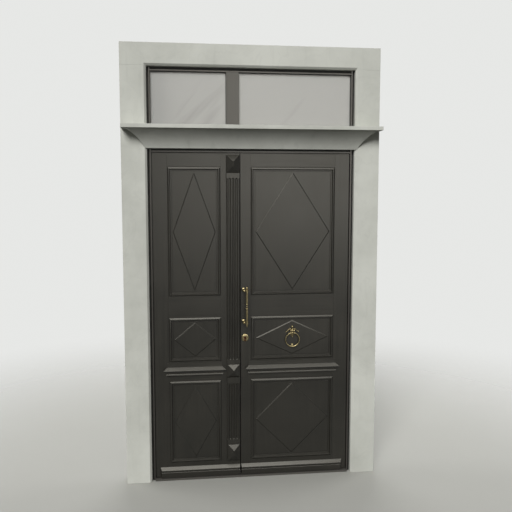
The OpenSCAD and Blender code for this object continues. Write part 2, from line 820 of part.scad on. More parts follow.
module left_meeting_stile() color(paint_c) place() difference() {
  stile_body(left_span[1], left_edge, left_span[1], left_edge);
  panel_grooves(left_span);
  all_tenons(left_span);
  strike_cuts();
  flush_bolt_cuts();
}

module right_lock_stile() color(paint_c) place() difference() {
  stile_body(right_edge, right_span[0], right_edge, right_span[0]);
  panel_grooves(right_span);
  all_tenons(right_span);
  lock_cuts();
}

module left_top_rail() color(paint_c) place() top_rail(left_span);
module left_upper_lock_rail() color(paint_c) place() rail(left_span, rail_rows[1]);
module left_lower_lock_rail() color(paint_c) place() rail(left_span, rail_rows[2]);
module left_bottom_rail() color(paint_c) place() rail(left_span, rail_rows[3]);
module right_top_rail() color(paint_c) place() top_rail(right_span);
module right_upper_lock_rail() color(paint_c) place() rail(right_span, rail_rows[1]);
module right_lower_lock_rail() color(paint_c) place() rail(right_span, rail_rows[2]);
module right_bottom_rail() color(paint_c) place() rail(right_span, rail_rows[3]);

// Raised lozenge with half widths a and b: two bars with bevelled edges, crossed along its sides
module lozenge(a, b) {
  side = norm([a, b]);
  width = 2 * a * b / side;
  intersection() {
    rotate([0, atan2(b, a), 0]) lozenge_bar(side, width);
    rotate([0, -atan2(b, a), 0]) lozenge_bar(side, width);
  }
}

module lozenge_bar(side, width) along_x(-side, side) polygon([
  [0, -width / 2], [0, width / 2],
  [-lozenge_rise, width / 2 - lozenge_bevel], [-lozenge_rise, lozenge_bevel - width / 2]
]);

// Box inside a panel's opening, in by d on all four sides, from y0 to y1
module inset_box(span, rows, d, y0, y1)
  box([span[0] + d, y0, rows[0] + d], [span[1] - d, y1, rows[1] - d]);

// Field inside a sunk line, with a raised lozenge between the middles of its sides and a tongue all round
module panel(span, rows) {
  sink_in = mould_quirk + mould_w;
  field_in = sink_in + sink_w;
  reach = [(span[1] - span[0]) / 2, (rows[1] - rows[0]) / 2] - [1, 1] * (field_in + lozenge_inset);
  difference() {
    inset_box(span, rows, panel_gap, field_y, panel_back_y);
    difference() {
      inset_box(span, rows, sink_in, field_y - cut, field_y + sink_d);
      inset_box(span, rows, field_in, field_y - 2 * cut, field_y + sink_d + cut);
    }
  }
  box([span[0] - groove_d + panel_gap, core_y - panel_tongue_t / 2, rows[0] - groove_d + panel_gap],
      [span[1] + groove_d - panel_gap, core_y + panel_tongue_t / 2, rows[1] + groove_d - panel_gap]);
  translate([(span[0] + span[1]) / 2, field_y, (rows[0] + rows[1]) / 2]) lozenge(reach[0], reach[1]);
}

module left_upper_panel() color(paint_c) place() panel(left_span, upper_span);
module left_middle_panel() color(paint_c) place() panel(left_span, middle_span);
module left_lower_panel() color(paint_c) place() panel(left_span, lower_span);
module right_upper_panel() color(paint_c) place() panel(right_span, upper_span);
module right_middle_panel() color(paint_c) place() panel(right_span, middle_span);
module right_lower_panel() color(paint_c) place() panel(right_span, lower_span);

// Section of the moulding, as [depth, distance from its outer edge]: splay, crest, fall and inner edge
crest_y = leaf_y - mould_proud;
fillet_y = field_y - mould_fillet;
crest_in = mould_splay + mould_crest;
mould_section = [
  [field_y, 0], [leaf_y, 0], [crest_y, mould_splay], [crest_y, crest_in],
  [fillet_y, crest_in + mould_fall], [fillet_y, mould_w], [field_y, mould_w]
];

// One stick of moulding of outer length len, mitred at both ends, inner edge towards +Z
module mould_stick(len) intersection() {
  along_x(0, len) polygon(mould_section);
  along_y(crest_y - cut, field_y + cut)
    polygon([[0, 0], [len, 0], [len - mould_w, mould_w], [mould_w, mould_w]]);
}

module mould_frame(span, rows) {
  x0 = span[0] + mould_quirk;
  x1 = span[1] - mould_quirk;
  z0 = rows[0] + mould_quirk;
  z1 = rows[1] - mould_quirk;
  translate([x0, 0, z0]) mould_stick(x1 - x0);
  translate([x1, 0, z0]) rotate([0, -90, 0]) mould_stick(z1 - z0);
  translate([x1, 0, z1]) rotate([0, 180, 0]) mould_stick(x1 - x0);
  translate([x0, 0, z1]) rotate([0, 90, 0]) mould_stick(z1 - z0);
}

module left_panel_mouldings() color(paint_c) place()
  for (rows = panel_spans) mould_frame(left_span, rows);

module right_panel_mouldings() color(paint_c) place()
  for (rows = panel_spans) mould_frame(right_span, rows);

// Ledge moulding on the lower lock rail, as [projection, height]: fillet, hollow, nose, neck, ovolo and slope
shelf_nose_z = shelf_z - shelf_fillet - shelf_hollow_h;
shelf_under_z = shelf_nose_z - shelf_nose;
shelf_foot_z = shelf_z - shelf_h;
shelf_ovolo_z = shelf_foot_z + shelf_slope_h;
shelf_reach = shelf_p - shelf_round - shelf_step - shelf_fillet;
shelf_line = concat(
  [[0, shelf_z], [shelf_fillet, shelf_z]],
  [for (t = [0 : 10 : 90])
    [shelf_fillet + shelf_reach * (1 - cos(t)), shelf_z - shelf_fillet - shelf_hollow_h * sin(t)]],
  [for (t = [0 : 15 : 90])
    [shelf_p - shelf_round * (1 - sin(t)), shelf_nose_z - shelf_round * (1 - cos(t))]],
  [[shelf_p, shelf_under_z], [shelf_neck_p, shelf_under_z]],
  [for (t = [0 : 15 : 90])
    [shelf_neck_p + (shelf_ovolo_p - shelf_neck_p) * sin(t), shelf_ovolo_z + shelf_ovolo_h * cos(t)]],
  [[shelf_edge_p, shelf_foot_z], [0, shelf_foot_z]]
);

// The moulding runs from x0 to x1 at the leaf's face and returns to it at both ends with a mitre
module ledge_moulding(x0, x1) intersection() {
  along_x(x0 - shelf_p, x1 + shelf_p) polygon([for (p = shelf_line) [leaf_y - p[0], p[1]]]);
  along_y(leaf_y - shelf_p, leaf_y) polygon(concat(
    [for (p = shelf_line) [x1 + p[0], p[1]]],
    [for (i = [len(shelf_line) - 1 : -1 : 0]) [x0 - shelf_line[i][0], shelf_line[i][1]]]
  ));
}

module left_ledge_moulding() color(paint_c) place()
  ledge_moulding(left_span[0] - shelf_over, pilaster_right - pilaster_w - shelf_gap - shelf_p);

module right_ledge_moulding() color(paint_c) place()
  ledge_moulding(right_span[0] - shelf_over, right_span[1] + shelf_over);

// Weatherboard: sloped top, nose, drip groove under it and a lower face
drip_y = leaf_y - drip_p;
drip_back_y = drip_y + drip_back;
drip_nose_z = drip_z - drip_fall;
drip_foot_z = foot_z + drip_lift;
drip_section = [
  [leaf_y, drip_z], [drip_y, drip_nose_z], [drip_y, drip_nose_z - drip_nose],
  [drip_back_y, drip_nose_z - drip_nose], [drip_back_y + drip_groove, drip_step_z],
  [drip_back_y, drip_step_z - drip_groove], [drip_back_y, drip_foot_z], [leaf_y, drip_foot_z]
];

module weatherboard(x0, x1, slope0, slope1) intersection() {
  along_x(x0, x1) polygon(drip_section);
  along_z(foot_z, drip_z) polygon([
    [x0, leaf_y], [x1, leaf_y], [x1 - slope1, drip_y], [x0 + slope0, drip_y]
  ]);
}

module left_weatherboard() color(paint_c) place()
  weatherboard(-face_x + drip_hinge_end, left_edge - drip_in, drip_p / 2, drip_relief);

module right_weatherboard() color(paint_c) place()
  weatherboard(right_edge + drip_in, face_x - drip_hinge_end, drip_relief, drip_p / 2);

// Pilaster

hip_top_z = pilaster_top_z - hip_block_h;
hip_foot_z = pilaster_foot_z + hip_block_h;
square_top_z = square_block_z + square_block_h;
shaft_front_y = leaf_y - shaft_p;

// Round-ended flute on the shaft's front
module flute(x, z0, z1) translate([x, shaft_front_y, 0]) {
  translate([0, 0, z0 + flute_r]) cylinder(r = flute_r, h = z1 - z0 - 2 * flute_r);
  translate([0, 0, z0 + flute_r]) sphere(r = flute_r);
  translate([0, 0, z1 - flute_r]) sphere(r = flute_r);
}

module fluted_shaft(z0, z1, end0, end1) difference() {
  box([pilaster_x - pilaster_w / 2, shaft_front_y, z0], [pilaster_x + pilaster_w / 2, leaf_y, z1]);
  for (i = [-2 : 2]) flute(pilaster_x + i * flute_pitch, z0 + end0, z1 - end1);
}

module pilaster_shafts() color(paint_c) place() {
  fluted_shaft(square_top_z, hip_top_z, flute_end_near, flute_end_far);
  fluted_shaft(hip_foot_z, square_block_z, flute_end_far, flute_end_under);
}

// Diamond block: a plinth whose front rises on all four sides at one slope to a ridge or a point
module diamond_block(z0, h) {
  edge_y = leaf_y - block_edge_p;
  half_w = pilaster_w / 2;
  tip_y = edge_y - block_rise;
  translate([pilaster_x, 0, z0 + h / 2]) {
    box([-half_w, edge_y, -h / 2], [half_w, leaf_y, h / 2]);
    intersection() {
      along_z(-h / 2, h / 2) polygon([[-half_w, edge_y], [half_w, edge_y], [0, tip_y]]);
      along_x(-half_w, half_w) polygon([
        [edge_y, -h / 2], [edge_y, h / 2], [tip_y, h / 2 - half_w], [tip_y, half_w - h / 2]
      ]);
    }
  }
}

module pilaster_end_blocks() color(paint_c) place() {
  diamond_block(hip_top_z, hip_block_h);
  diamond_block(pilaster_foot_z, hip_block_h);
}

module pilaster_middle_block() color(paint_c) place() diamond_block(square_block_z, square_block_h);

// Lock and bolts

// Keep for the dead bolt's throw, from x0 to the leaf's meeting edge and past it
module bolt_keep(x0) {
  half_y = bolt_t / 2 + 2 * bolt_clear;
  half_z = bolt_h / 2 + 2 * bolt_clear;
  box([x0, lock_y - half_y, bolt_z - half_z], [left_edge + cut, lock_y + half_y, bolt_z + half_z]);
}

module strike_body(x1)
  box([left_edge - plate_t, lock_y - plate_w / 2, bolt_z - strike_h / 2],
      [x1, lock_y + plate_w / 2, bolt_z + strike_h / 2]);

module strike_cuts() {
  strike_body(left_edge + cut);
  bolt_keep(left_edge - bolt_throw - plate_t);
}

module strike_plate() color(brass_c) place() difference() {
  strike_body(left_edge);
  bolt_keep(left_edge - plate_t - cut);
}

// Outline of the lock cylinder seen along its axis, grown by g
module cylinder_outline(g) {
  circle(r = cylinder_r + g);
  translate([-cylinder_body_w / 2 - g, -cylinder_drop - g])
    square([cylinder_body_w + 2 * g, cylinder_drop + g]);
}

module cylinder_prism(g, y0, y1) translate([key_x, 0, key_z]) along_y(y0, y1) cylinder_outline(g);

case_x = right_edge + plate_t;
case_z = key_z - case_h / 2;
cylinder_y0 = leaf_y - rose_t + cylinder_in;
cylinder_y1 = back_y + rose_t - cylinder_in;

module lock_body() {
  box([case_x, lock_y - case_t / 2, case_z], [case_x + case_d, lock_y + case_t / 2, case_z + case_h]);
  box([right_edge, lock_y - plate_w / 2, key_z - plate_h / 2],
      [case_x, lock_y + plate_w / 2, key_z + plate_h / 2]);
}

module lock_cuts() {
  lock_body();
  cylinder_prism(cylinder_gap, leaf_y - cut, back_y + cut);
  for (z = [pull_low_z, pull_low_z + pull_span])
    rod_y(pull_x, z, post_stud_r, leaf_y - cut, lock_y);
}

// Dead bolt from x0 to x1, grown by g on its sides
module dead_bolt_box(g, x0, x1)
  box([x0, lock_y - bolt_t / 2 - g, bolt_z - bolt_h / 2 - g],
      [x1, lock_y + bolt_t / 2 + g, bolt_z + bolt_h / 2 + g]);

module lock_case() color(steel_c) place() difference() {
  lock_body();
  cylinder_prism(cylinder_gap, leaf_y, back_y);
  dead_bolt_box(bolt_clear, right_edge - cut, case_x + case_d - bolt_tail + bolt_clear);
}

module dead_bolt() color(brass_c) place()
  dead_bolt_box(0, right_edge, case_x + case_d - bolt_tail);

// Cylinder with a bore for the plug in front and one for the thumb turn's spindle behind
module lock_cylinder() color(brass_c) place() difference() {
  cylinder_prism(0, cylinder_y0, cylinder_y1);
  rod_y(key_x, key_z, plug_r + pin_clear, cylinder_y0 - cut, lock_y - case_t / 4);
  rod_y(key_x, key_z, plug_r + pin_clear, lock_y + case_t / 4, cylinder_y1 + cut);
}

module cylinder_plug() color(brass_c) place() difference() {
  rod_y(key_x, key_z, plug_r, cylinder_y0, lock_y - case_t / 4 - cylinder_gap);
  box([key_x - keyway_w / 2, cylinder_y0 - cut, key_z - keyway_h / 2],
      [key_x + keyway_w / 2, cylinder_y0 + keyway_depth, key_z + keyway_h / 2]);
}

module thumb_turn() color(brass_c) place() {
  turn_y0 = back_y + rose_t + cylinder_gap;
  rod_y(key_x, key_z, plug_r, lock_y + case_t / 4 + cylinder_gap, turn_y0 + turn_p / 2);
  rod_y(key_x, key_z, turn_r, turn_y0, turn_y0 + turn_base);
  box([key_x - turn_t / 2, turn_y0 + turn_base, key_z - turn_r + turn_in],
      [key_x + turn_t / 2, turn_y0 + turn_p, key_z + turn_r - turn_in]);
}

// Domed rose with an opening for the cylinder, standing out along -Y from y = 0
module rose() difference() {
  rotate([90, 0, 0]) rotate_extrude() polygon([
    [0, 0], [rose_r, 0], [rose_r, rose_t * 0.35], [rose_r - rose_dome * 0.25, rose_t * 0.6],
    [rose_r - rose_dome * 0.65, rose_t * 0.7], [rose_r - rose_dome, rose_t], [0, rose_t]
  ]);
  along_y(-rose_t - cut, cut) cylinder_outline(cylinder_gap);
}

module keyhole_roses() color(brass_c) place() translate([key_x, 0, key_z]) {
  translate([0, leaf_y, 0]) rose();
  translate([0, back_y, 0]) mirror([0, 1, 0]) rose();
}

// Flush bolts: a rod in the stile, worked by a knob in a slotted plate on the meeting edge

top_plate_z = rod_top_z - rod_l - knob_r;
foot_plate_z = rod_foot_z + rod_l + knob_r - rod_plate_h;
top_knob_z = rod_top_z - rod_l + 4 * knob_r;
foot_knob_z = rod_foot_z + rod_l - 4 * knob_r;

// Room round the knob between its lowest and highest place
module knob_slot(x0, low, high) {
  half = knob_r + bolt_clear;
  box([x0, rod_y - half, low - half], [left_edge + cut, rod_y + half, high + half]);
}

module plate_body(z0, x1)
  box([left_edge - plate_t, rod_y - rod_plate_w / 2, z0], [x1, rod_y + rod_plate_w / 2, z0 + rod_plate_h]);

module flush_plate(z0, low, high) difference() {
  plate_body(z0, left_edge);
  knob_slot(left_edge - plate_t - cut, low, high);
}

module flush_bolt_plates() color(brass_c) place() {
  flush_plate(top_plate_z, top_knob_z, top_knob_z + rod_throw);
  flush_plate(foot_plate_z, foot_knob_z - rod_throw, foot_knob_z);
}

module flush_bolt_cuts() {
  bore_r = rod_r + rod_clear;
  translate([rod_x, rod_y, rod_top_z - rod_l - bolt_clear])
    cylinder(r = bore_r, h = rod_l + rod_retreat + 2 * cut);
  translate([rod_x, rod_y, foot_z - cut])
    cylinder(r = bore_r, h = rod_l + rod_retreat + cut + bolt_clear);
  for (z0 = [top_plate_z, foot_plate_z]) plate_body(z0, left_edge + cut);
  knob_slot(rod_x, top_knob_z, top_knob_z + rod_throw);
  knob_slot(rod_x, foot_knob_z - rod_throw, foot_knob_z);
}

module flush_bolt(z0, knob_z) {
  translate([rod_x, rod_y, z0]) cylinder(r = rod_r, h = rod_l);
  rod_x(rod_y, knob_z, knob_r, rod_x, left_edge);
}

module top_flush_bolt() color(brass_c) place() flush_bolt(rod_top_z - rod_l, top_knob_z);

module bottom_flush_bolt() color(brass_c) place() flush_bolt(rod_foot_z, foot_knob_z);

// Pull handle

eye_r = pull_r + eye_wall;
elbow_r = norm([post_r, arm_r]) + elbow_out;

// Cranked post: rose, stem, ball elbow, arm and the eye that holds the bar
module pull_post(z) translate([0, 0, z]) difference() {
  union() {
    translate([pull_x, leaf_y, 0]) rotate([90, 0, 0]) rotate_extrude() polygon([
      [0, 0], [pull_rose_r, 0], [pull_rose_r, pull_rose_t * 0.4],
      [pull_rose_r * 0.75, pull_rose_t * 0.75], [pull_rose_r * 0.55, pull_rose_t], [0, pull_rose_t]
    ]);
    rod_y(pull_x, 0, post_r, pull_y, leaf_y);
    rod_y(pull_x, 0, post_stud_r, leaf_y - cut, lock_y);
    translate([pull_x, pull_y, 0]) sphere(r = elbow_r);
    rod_x(pull_y, 0, arm_r, pull_x, bar_x);
    translate([bar_x, pull_y, -eye_h / 2]) cylinder(r = eye_r, h = eye_h);
  }
  translate([bar_x, pull_y, -eye_h]) cylinder(r = pull_r + pin_clear, h = 2 * eye_h);
}

module pull_handle_posts() color(brass_c) place() {
  pull_post(pull_low_z);
  pull_post(pull_low_z + pull_span);
}

// Half profile of a bead round height z that stands p out of the bar, as [radius, z]
function bead(z, p) = [for (t = [-75 : 25 : 75]) [pull_r + p * cos(t), z + pull_bead_h * sin(t)]];

// Turned bar: pointed foot with a swelling, plain lengths in the eyes, four beads in the middle
// and a ball on top
module pull_handle_bar() color(brass_c) place() translate([bar_x, pull_y, pull_low_z]) {
  foot = -eye_h / 2 - pull_foot_l;
  mid = pull_span / 2;
  plain = mid - 5 * pull_bead_h;
  top = pull_span + eye_h / 2;
  rotate_extrude() polygon(concat(
    [[0, foot], [pull_foot_r * 0.3, foot + pull_foot_l * 0.15],
     [pull_foot_r * 0.55, foot + pull_foot_l * 0.35]],
    [for (t = [-60 : 30 : 60])
      [pull_foot_r * (0.4 + 0.6 * cos(t)), foot + pull_foot_l * (0.65 + 0.25 * sin(t))]],
    [[pull_r, -eye_h / 2 - pull_collar], [pull_r, plain]],
    bead(mid - 3 * pull_bead_h, pull_bead_p * 0.7), bead(mid - pull_bead_h, pull_bead_p),
    bead(mid + pull_bead_h, pull_bead_p), bead(mid + 3 * pull_bead_h, pull_bead_p * 0.7),
    [[pull_r, pull_span - plain], [pull_r, top + pull_collar]],
    [for (t = [-54 : 24 : 90]) [pull_ball_r * cos(t), top + pull_ball_r * (1 + sin(t))]]
  ));
}

// Knocker

module ear_outline() {
  circle(r = trunnion_r + ear_wall);
  translate([0, -trunnion_r - ear_wall]) square([ring_out, 2 * (trunnion_r + ear_wall)]);
}

// Ears for the ring's trunnions
module knocker_ears() difference() {
  for (side = [-1, 1]) translate([side * (ear_in + ear_t / 2) - ear_t / 2, -ring_out, 0])
    rotate([90, 0, 90]) linear_extrude(ear_t) ear_outline();
  rod_x(-ring_out, 0, trunnion_r + pin_clear, -2 * ear_in, 2 * ear_in);
}

// Bead of radius r at [x, z], clear of the panel behind it
module crown_bead(x, z, r) translate([x, -r - stud_gap, z]) sphere(r = r);

// Back plate of three lobes with scrolled arms, beads along them and a drop of beads below
module knocker_crown() {
  along_y(-crown_t, 0) {
    circle(r = crown_r);
    translate([0, crown_r * 0.8]) circle(r = crown_r * 0.65);
    translate([0, -crown_r]) circle(r = crown_r * 0.45);
  }
  for (side = [-1, 1]) scale_x(side) {
    translate([crown_w / 2, -scroll_t - stud_gap, scroll_t / 2])
      rotate([90, 0, 0]) rotate_extrude(angle = 180)
        translate([crown_w / 2 - scroll_t, 0]) circle(r = scroll_t, $fn = 24);
    crown_bead(crown_w - scroll_t, 0, crown_bead_r * 0.8);
    crown_bead(crown_w / 2, crown_r * 1.2, crown_bead_r * 0.75);
  }
  crown_bead(0, crown_r * 1.5, crown_bead_r);
  for (i = [0 : 2]) crown_bead(0, -crown_r - crown_bead_r * i, crown_bead_r * (0.75 - 0.125 * i));
}

// Crown and ears in one casting, and the strike stud below them
module knocker_plate() color(brass_c) place() translate([knocker_x, knocker_y, knocker_z]) {
  knocker_ears();
  knocker_crown();
  rod_y(0, -stud_drop, stud_r, -ring_out + grip_t + stud_gap, 0);
}

// Ring with a thickened grip at the bottom and a ball with trunnions at the top
module knocker_ring() color(brass_c) place() translate([knocker_x, ring_y, knocker_z]) {
  translate([0, 0, -ring_neck]) cylinder(r = ring_t * 0.8, h = ring_neck);
  translate([0, 0, -ring_neck - ring_r]) rotate([90, 0, 0]) {
    rotate([0, 0, grip_angle / 2 - 90]) rotate_extrude(angle = 360 - grip_angle)
      translate([ring_r, 0]) circle(r = ring_t, $fn = 24);
    rotate([0, 0, -90 - grip_angle / 2]) rotate_extrude(angle = grip_angle)
      translate([ring_r, 0]) circle(r = grip_t, $fn = 24);
  }
  sphere(r = ear_in - ball_gap);
  rod_x(0, 0, trunnion_r, -ear_in - ear_t, ear_in + ear_t);
}

stone_jamb_left();
stone_jamb_right();
stone_lintel();
stone_cornice();
threshold();
frame_jamb_left();
frame_jamb_right();
frame_head();
frame_transom();
fanlight_mullion();
fanlight_glass_left();
fanlight_glass_right();
glazing_beads();
frame_seals();
hinge_frame_flaps();
hinge_pins();
left_hinge_stile();
left_meeting_stile();
left_top_rail();
left_upper_lock_rail();
left_lower_lock_rail();
left_bottom_rail();
left_upper_panel();
left_middle_panel();
left_lower_panel();
left_panel_mouldings();
left_ledge_moulding();
left_weatherboard();
left_hinge_flaps();
pilaster_shafts();
pilaster_end_blocks();
pilaster_middle_block();
strike_plate();
flush_bolt_plates();
top_flush_bolt();
bottom_flush_bolt();
right_hinge_stile();
right_lock_stile();
right_top_rail();
right_upper_lock_rail();
right_lower_lock_rail();
right_bottom_rail();
right_upper_panel();
right_middle_panel();
right_lower_panel();
right_panel_mouldings();
right_ledge_moulding();
right_weatherboard();
right_hinge_flaps();
pull_handle_posts();
pull_handle_bar();
keyhole_roses();
lock_case();
lock_cylinder();
cylinder_plug();
thumb_turn();
dead_bolt();
knocker_plate();
knocker_ring();
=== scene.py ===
"""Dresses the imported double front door: finishes for its solids, and the turned, cast and small pieces."""
import json
import math

import bmesh
import bpy
import numpy as np
from bpy.props import FloatProperty, FloatVectorProperty, PointerProperty
from bpy.types import Operator, Panel, PropertyGroup
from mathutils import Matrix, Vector


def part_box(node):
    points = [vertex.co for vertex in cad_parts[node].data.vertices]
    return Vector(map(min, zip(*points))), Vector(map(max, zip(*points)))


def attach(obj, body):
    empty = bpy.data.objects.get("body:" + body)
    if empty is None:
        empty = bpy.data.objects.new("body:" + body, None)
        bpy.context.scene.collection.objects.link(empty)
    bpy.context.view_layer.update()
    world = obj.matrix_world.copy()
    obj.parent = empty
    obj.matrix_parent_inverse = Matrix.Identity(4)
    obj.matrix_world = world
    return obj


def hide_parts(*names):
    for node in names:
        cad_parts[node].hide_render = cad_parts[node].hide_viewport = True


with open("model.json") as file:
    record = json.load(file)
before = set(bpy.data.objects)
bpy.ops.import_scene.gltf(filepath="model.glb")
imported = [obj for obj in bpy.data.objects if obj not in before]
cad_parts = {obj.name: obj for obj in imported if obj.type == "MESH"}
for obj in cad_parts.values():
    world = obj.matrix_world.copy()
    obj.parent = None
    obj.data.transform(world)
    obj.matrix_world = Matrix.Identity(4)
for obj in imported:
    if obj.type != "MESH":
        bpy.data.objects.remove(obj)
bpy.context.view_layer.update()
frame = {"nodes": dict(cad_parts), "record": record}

bl_info = {
    "name": "Double Front Door",
    "version": (1, 0, 0),
    "blender": (4, 5, 0),
    "location": "View3D > Sidebar > Door",
    "description": "Finishes and small pieces of a panelled double front door in a stone surround",
    "category": "Object",
}

# Lengths are in metres; X runs to the right seen from the street, Y into the house and Z up
MM = 0.001
LEAVES = ("left", "right")
# Rails above and below each row of panels
PANEL_ROWS = (
    ("top_rail", "upper_lock_rail"),
    ("upper_lock_rail", "lower_lock_rail"),
    ("lower_lock_rail", "bottom_rail"))
# Axis that a board's grain follows
GRAIN_ACROSS, GRAIN_UPRIGHT = 0, 2


def linear(code):
    """Linear RGBA of an sRGB hex value."""
    srgb = np.array([int(code[i:i + 2], 16) for i in (1, 3, 5)]) / 255
    rgb = np.where(srgb <= 0.04045, srgb / 12.92, ((srgb + 0.055) / 1.055) ** 2.4)
    return (*rgb.tolist(), 1.0)


def colour(name, description, code):
    """Colour property that starts at an sRGB hex value."""
    return FloatVectorProperty(name=name, description=description, subtype="COLOR", size=4, min=0, max=1,
                               default=linear(code))


def length(name, description, mm):
    """Length property in metres that starts at a size in millimetres."""
    return FloatProperty(name=name, description=description, unit="LENGTH", min=0, default=mm * MM)


# Sizes and colours


class DoorColours(PropertyGroup):
    """Colours of the door's finishes."""
    stone: colour("Stone", "Body of the limestone", "#c3c4bc")
    stone_cloud: colour("Stone clouds", "Darker patches of the limestone", "#aeafa7")
    stone_vein: colour("Stone veins", "Hair veins and rain marks of the limestone", "#8d8d86")
    leaf: colour("Leaf paint", "Satin paint of the leaves", "#191814")
    leaf_worn: colour("Worn leaf paint", "Where the leaves' paint has dulled", "#22201b")
    joinery: colour("Frame paint", "Satin paint of the frame", "#292724")
    joinery_worn: colour("Worn frame paint", "Where the frame's paint has dulled", "#322f2b")
    brass: colour("Brass", "Polished brass of the handle, knocker and roses", "#968b6c")
    brass_aged: colour("Aged brass", "Browner patches of the brass", "#5f563d")
    bronze: colour("Bronze", "Rubbed bronze of the lock cylinder", "#5a362b")
    bronze_aged: colour("Aged bronze", "Darker patches of the bronze", "#3a2119")
    # The glass's pale body colour and its greyer streaks paint the reflections of a pale sky
    glass: colour("Glass", "Body of the etched fanlight glass", "#858583")
    glass_reflection_streak: colour("Glass streaks", "Greyer streaks in the fanlight glass", "#6c6c6a")
    rubber: colour("Rubber", "Weather seals, glazing seal and meeting seal", "#2a2a29")
    # Near-black sealant colour that paints the deep shade in the groove between stone and frame
    mastic_painted_shade: colour("Mastic", "Joint between stone and frame", "#080808")
    zinc: colour("Zinc", "Plated steel of the lock case", "#a3a39f")
    threshold: colour("Threshold", "Dark threshold plate", "#45433f")


class DoorSizes(PropertyGroup):
    """Sizes of the pieces that the scene adds."""
    stone_edge: length("Stone edge", "Rounding of the stone's arrises", 1.2)
    timber_edge: length("Timber edge", "Rounding of the painted timber's arrises", 1.0)
    panel_edge: length("Panel edge", "Rounding of the arrises of panels and their mouldings", 0.4)
    metal_edge: length("Metal edge", "Rounding of the plates' arrises", 0.3)
    bar_r: length("Bar radius", "Radius of the pull handle's bar", 7.5)
    bar_bead: length("Bar bead", "How far the middle beads stand out of the bar", 2.5)
    bar_waist: length("Bar waist", "Radius of the bar between its middle beads", 3.8)
    bar_bead_h: length("Bar bead height", "Half the height of a bead", 5.0)
    bar_ball: length("Bar ball", "Radius of the ball on top of the bar", 8.0)
    bar_foot: length("Bar foot", "Length of the pointed foot", 28.0)
    ring_r: length("Ring radius", "Radius of the knocker ring's centre line", 49.0)
    ring_t: length("Ring section", "Radius of the knocker ring's section", 4.0)
    ring_grip: length("Ring grip", "Radius of the knocker ring's grip", 6.0)
    ring_boss: length("Ring boss", "Radius of the boss on top of the knocker ring", 9.0)
    ring_ball: length("Ring ball", "Radius of the ball that the knocker ring hangs from", 8.0)
    crown_reach: length("Crown reach", "Half the width of the knocker's crown", 43.0)
    crown_knob: length("Crown knob", "Radius of the knob on the knocker's crown", 8.0)
    stud_r: length("Stud radius", "Radius of the knocker's striking stud", 10.0)
    screw_r: length("Screw head", "Radius of a plate's screw heads", 3.4)
    screw_slot: length("Screw slot", "Width of a screw's slot", 0.9)
    glazing_seal: length("Glazing seal", "Width of the seal round the panes", 2.4)
    frame_lip: length("Frame lip", "Width of the frame's lip seen from the street", 10.0)
    rear_bead: length("Rear bead", "Width of the bead round the panels' backs", 12.0)


# Node and mesh helpers


def add(tree, kind, inputs=(), **settings):
    """Adds a node, sets its attributes, and sets or links its inputs by name or number."""
    node = tree.nodes.new(kind)
    for name, value in settings.items():
        setattr(node, name, value)
    for socket, value in dict(inputs).items():
        if isinstance(value, bpy.types.NodeSocket):
            tree.links.new(value, node.inputs[socket])
        else:
            node.inputs[socket].default_value = value
    return node


def start_material(name):
    """New node material with its tree, shader and Object coordinates."""
    finish = bpy.data.materials.new(name)
    finish.use_nodes = True
    tree = finish.node_tree
    coords = add(tree, "ShaderNodeTexCoord").outputs["Object"]
    return finish, tree, tree.nodes["Principled BSDF"], coords


def per(mm):
    """Scale of a pattern whose marks are so many millimetres wide."""
    return 1 / (mm * MM)


def grid_faces(rows, columns, wrap):
    """Quads of a grid of rows by columns; wrap joins the last column to the first."""
    r = np.arange(rows - 1)[:, None]
    c = np.arange(columns if wrap else columns - 1)[None, :]
    d = (c + 1) % columns
    quads = np.stack([r * columns + c, r * columns + d, (r + 1) * columns + d, (r + 1) * columns + c], -1)
    return quads.reshape(-1, 4)


def piece(name, sheets, finish, body):
    """One object from several sheets, each (points of shape rows x columns x 3, wrap, capped).
    A capped sheet gets a face over its first and its last row. Doubles are merged, normals turned outwards,
    and edges sharper than 35 degrees stay sharp."""
    points, faces, base = [], [], 0
    for grid, wrap, capped in sheets:
        rows, columns = grid.shape[:2]
        points.append(grid.reshape(-1, 3))
        faces += (grid_faces(rows, columns, wrap) + base).tolist()
        if capped:
            faces += [list(range(base, base + columns)),
                      list(range(base + (rows - 1) * columns, base + rows * columns))]
        base += rows * columns
    mesh = bpy.data.meshes.new(name)
    mesh.from_pydata(np.concatenate(points).tolist(), [], faces)
    shape = bmesh.new()
    shape.from_mesh(mesh)
    bmesh.ops.remove_doubles(shape, verts=shape.verts, dist=0.001 * MM)
    bmesh.ops.dissolve_degenerate(shape, edges=shape.edges, dist=0.0001 * MM)
    bmesh.ops.recalc_face_normals(shape, faces=shape.faces)
    shape.to_mesh(mesh)
    shape.free()
    mesh.polygons.foreach_set("use_smooth", np.ones(len(mesh.polygons), bool))
    mesh.set_sharp_from_angle(angle=math.radians(35))
    mesh.materials.append(finish)
    made = bpy.data.objects.new(name, mesh)
    bpy.context.scene.collection.objects.link(made)
    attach(made, body)
    return made


def soften(solid, width):
    """Rounds a solid's arrises and evens its shading: weld, join flat faces, bevel, weighted normals."""
    weld = solid.modifiers.new("Weld", "WELD")
    weld.merge_threshold = 0.01 * MM
    flat = solid.modifiers.new("Flat faces", "DECIMATE")
    flat.decimate_type = "DISSOLVE"
    flat.angle_limit = math.radians(0.4)
    arris = solid.modifiers.new("Arrises", "BEVEL")
    arris.width = width
    arris.segments = 2
    arris.limit_method = "ANGLE"
    arris.angle_limit = math.radians(32)
    arris.use_clamp_overlap = True
    even = solid.modifiers.new("Even shading", "WEIGHTED_NORMAL")
    even.weight = 50


def dress(node, finish):
    """Gives a solid its finish."""
    mesh = frame["nodes"][node].data
    mesh.materials.clear()
    mesh.materials.append(finish)


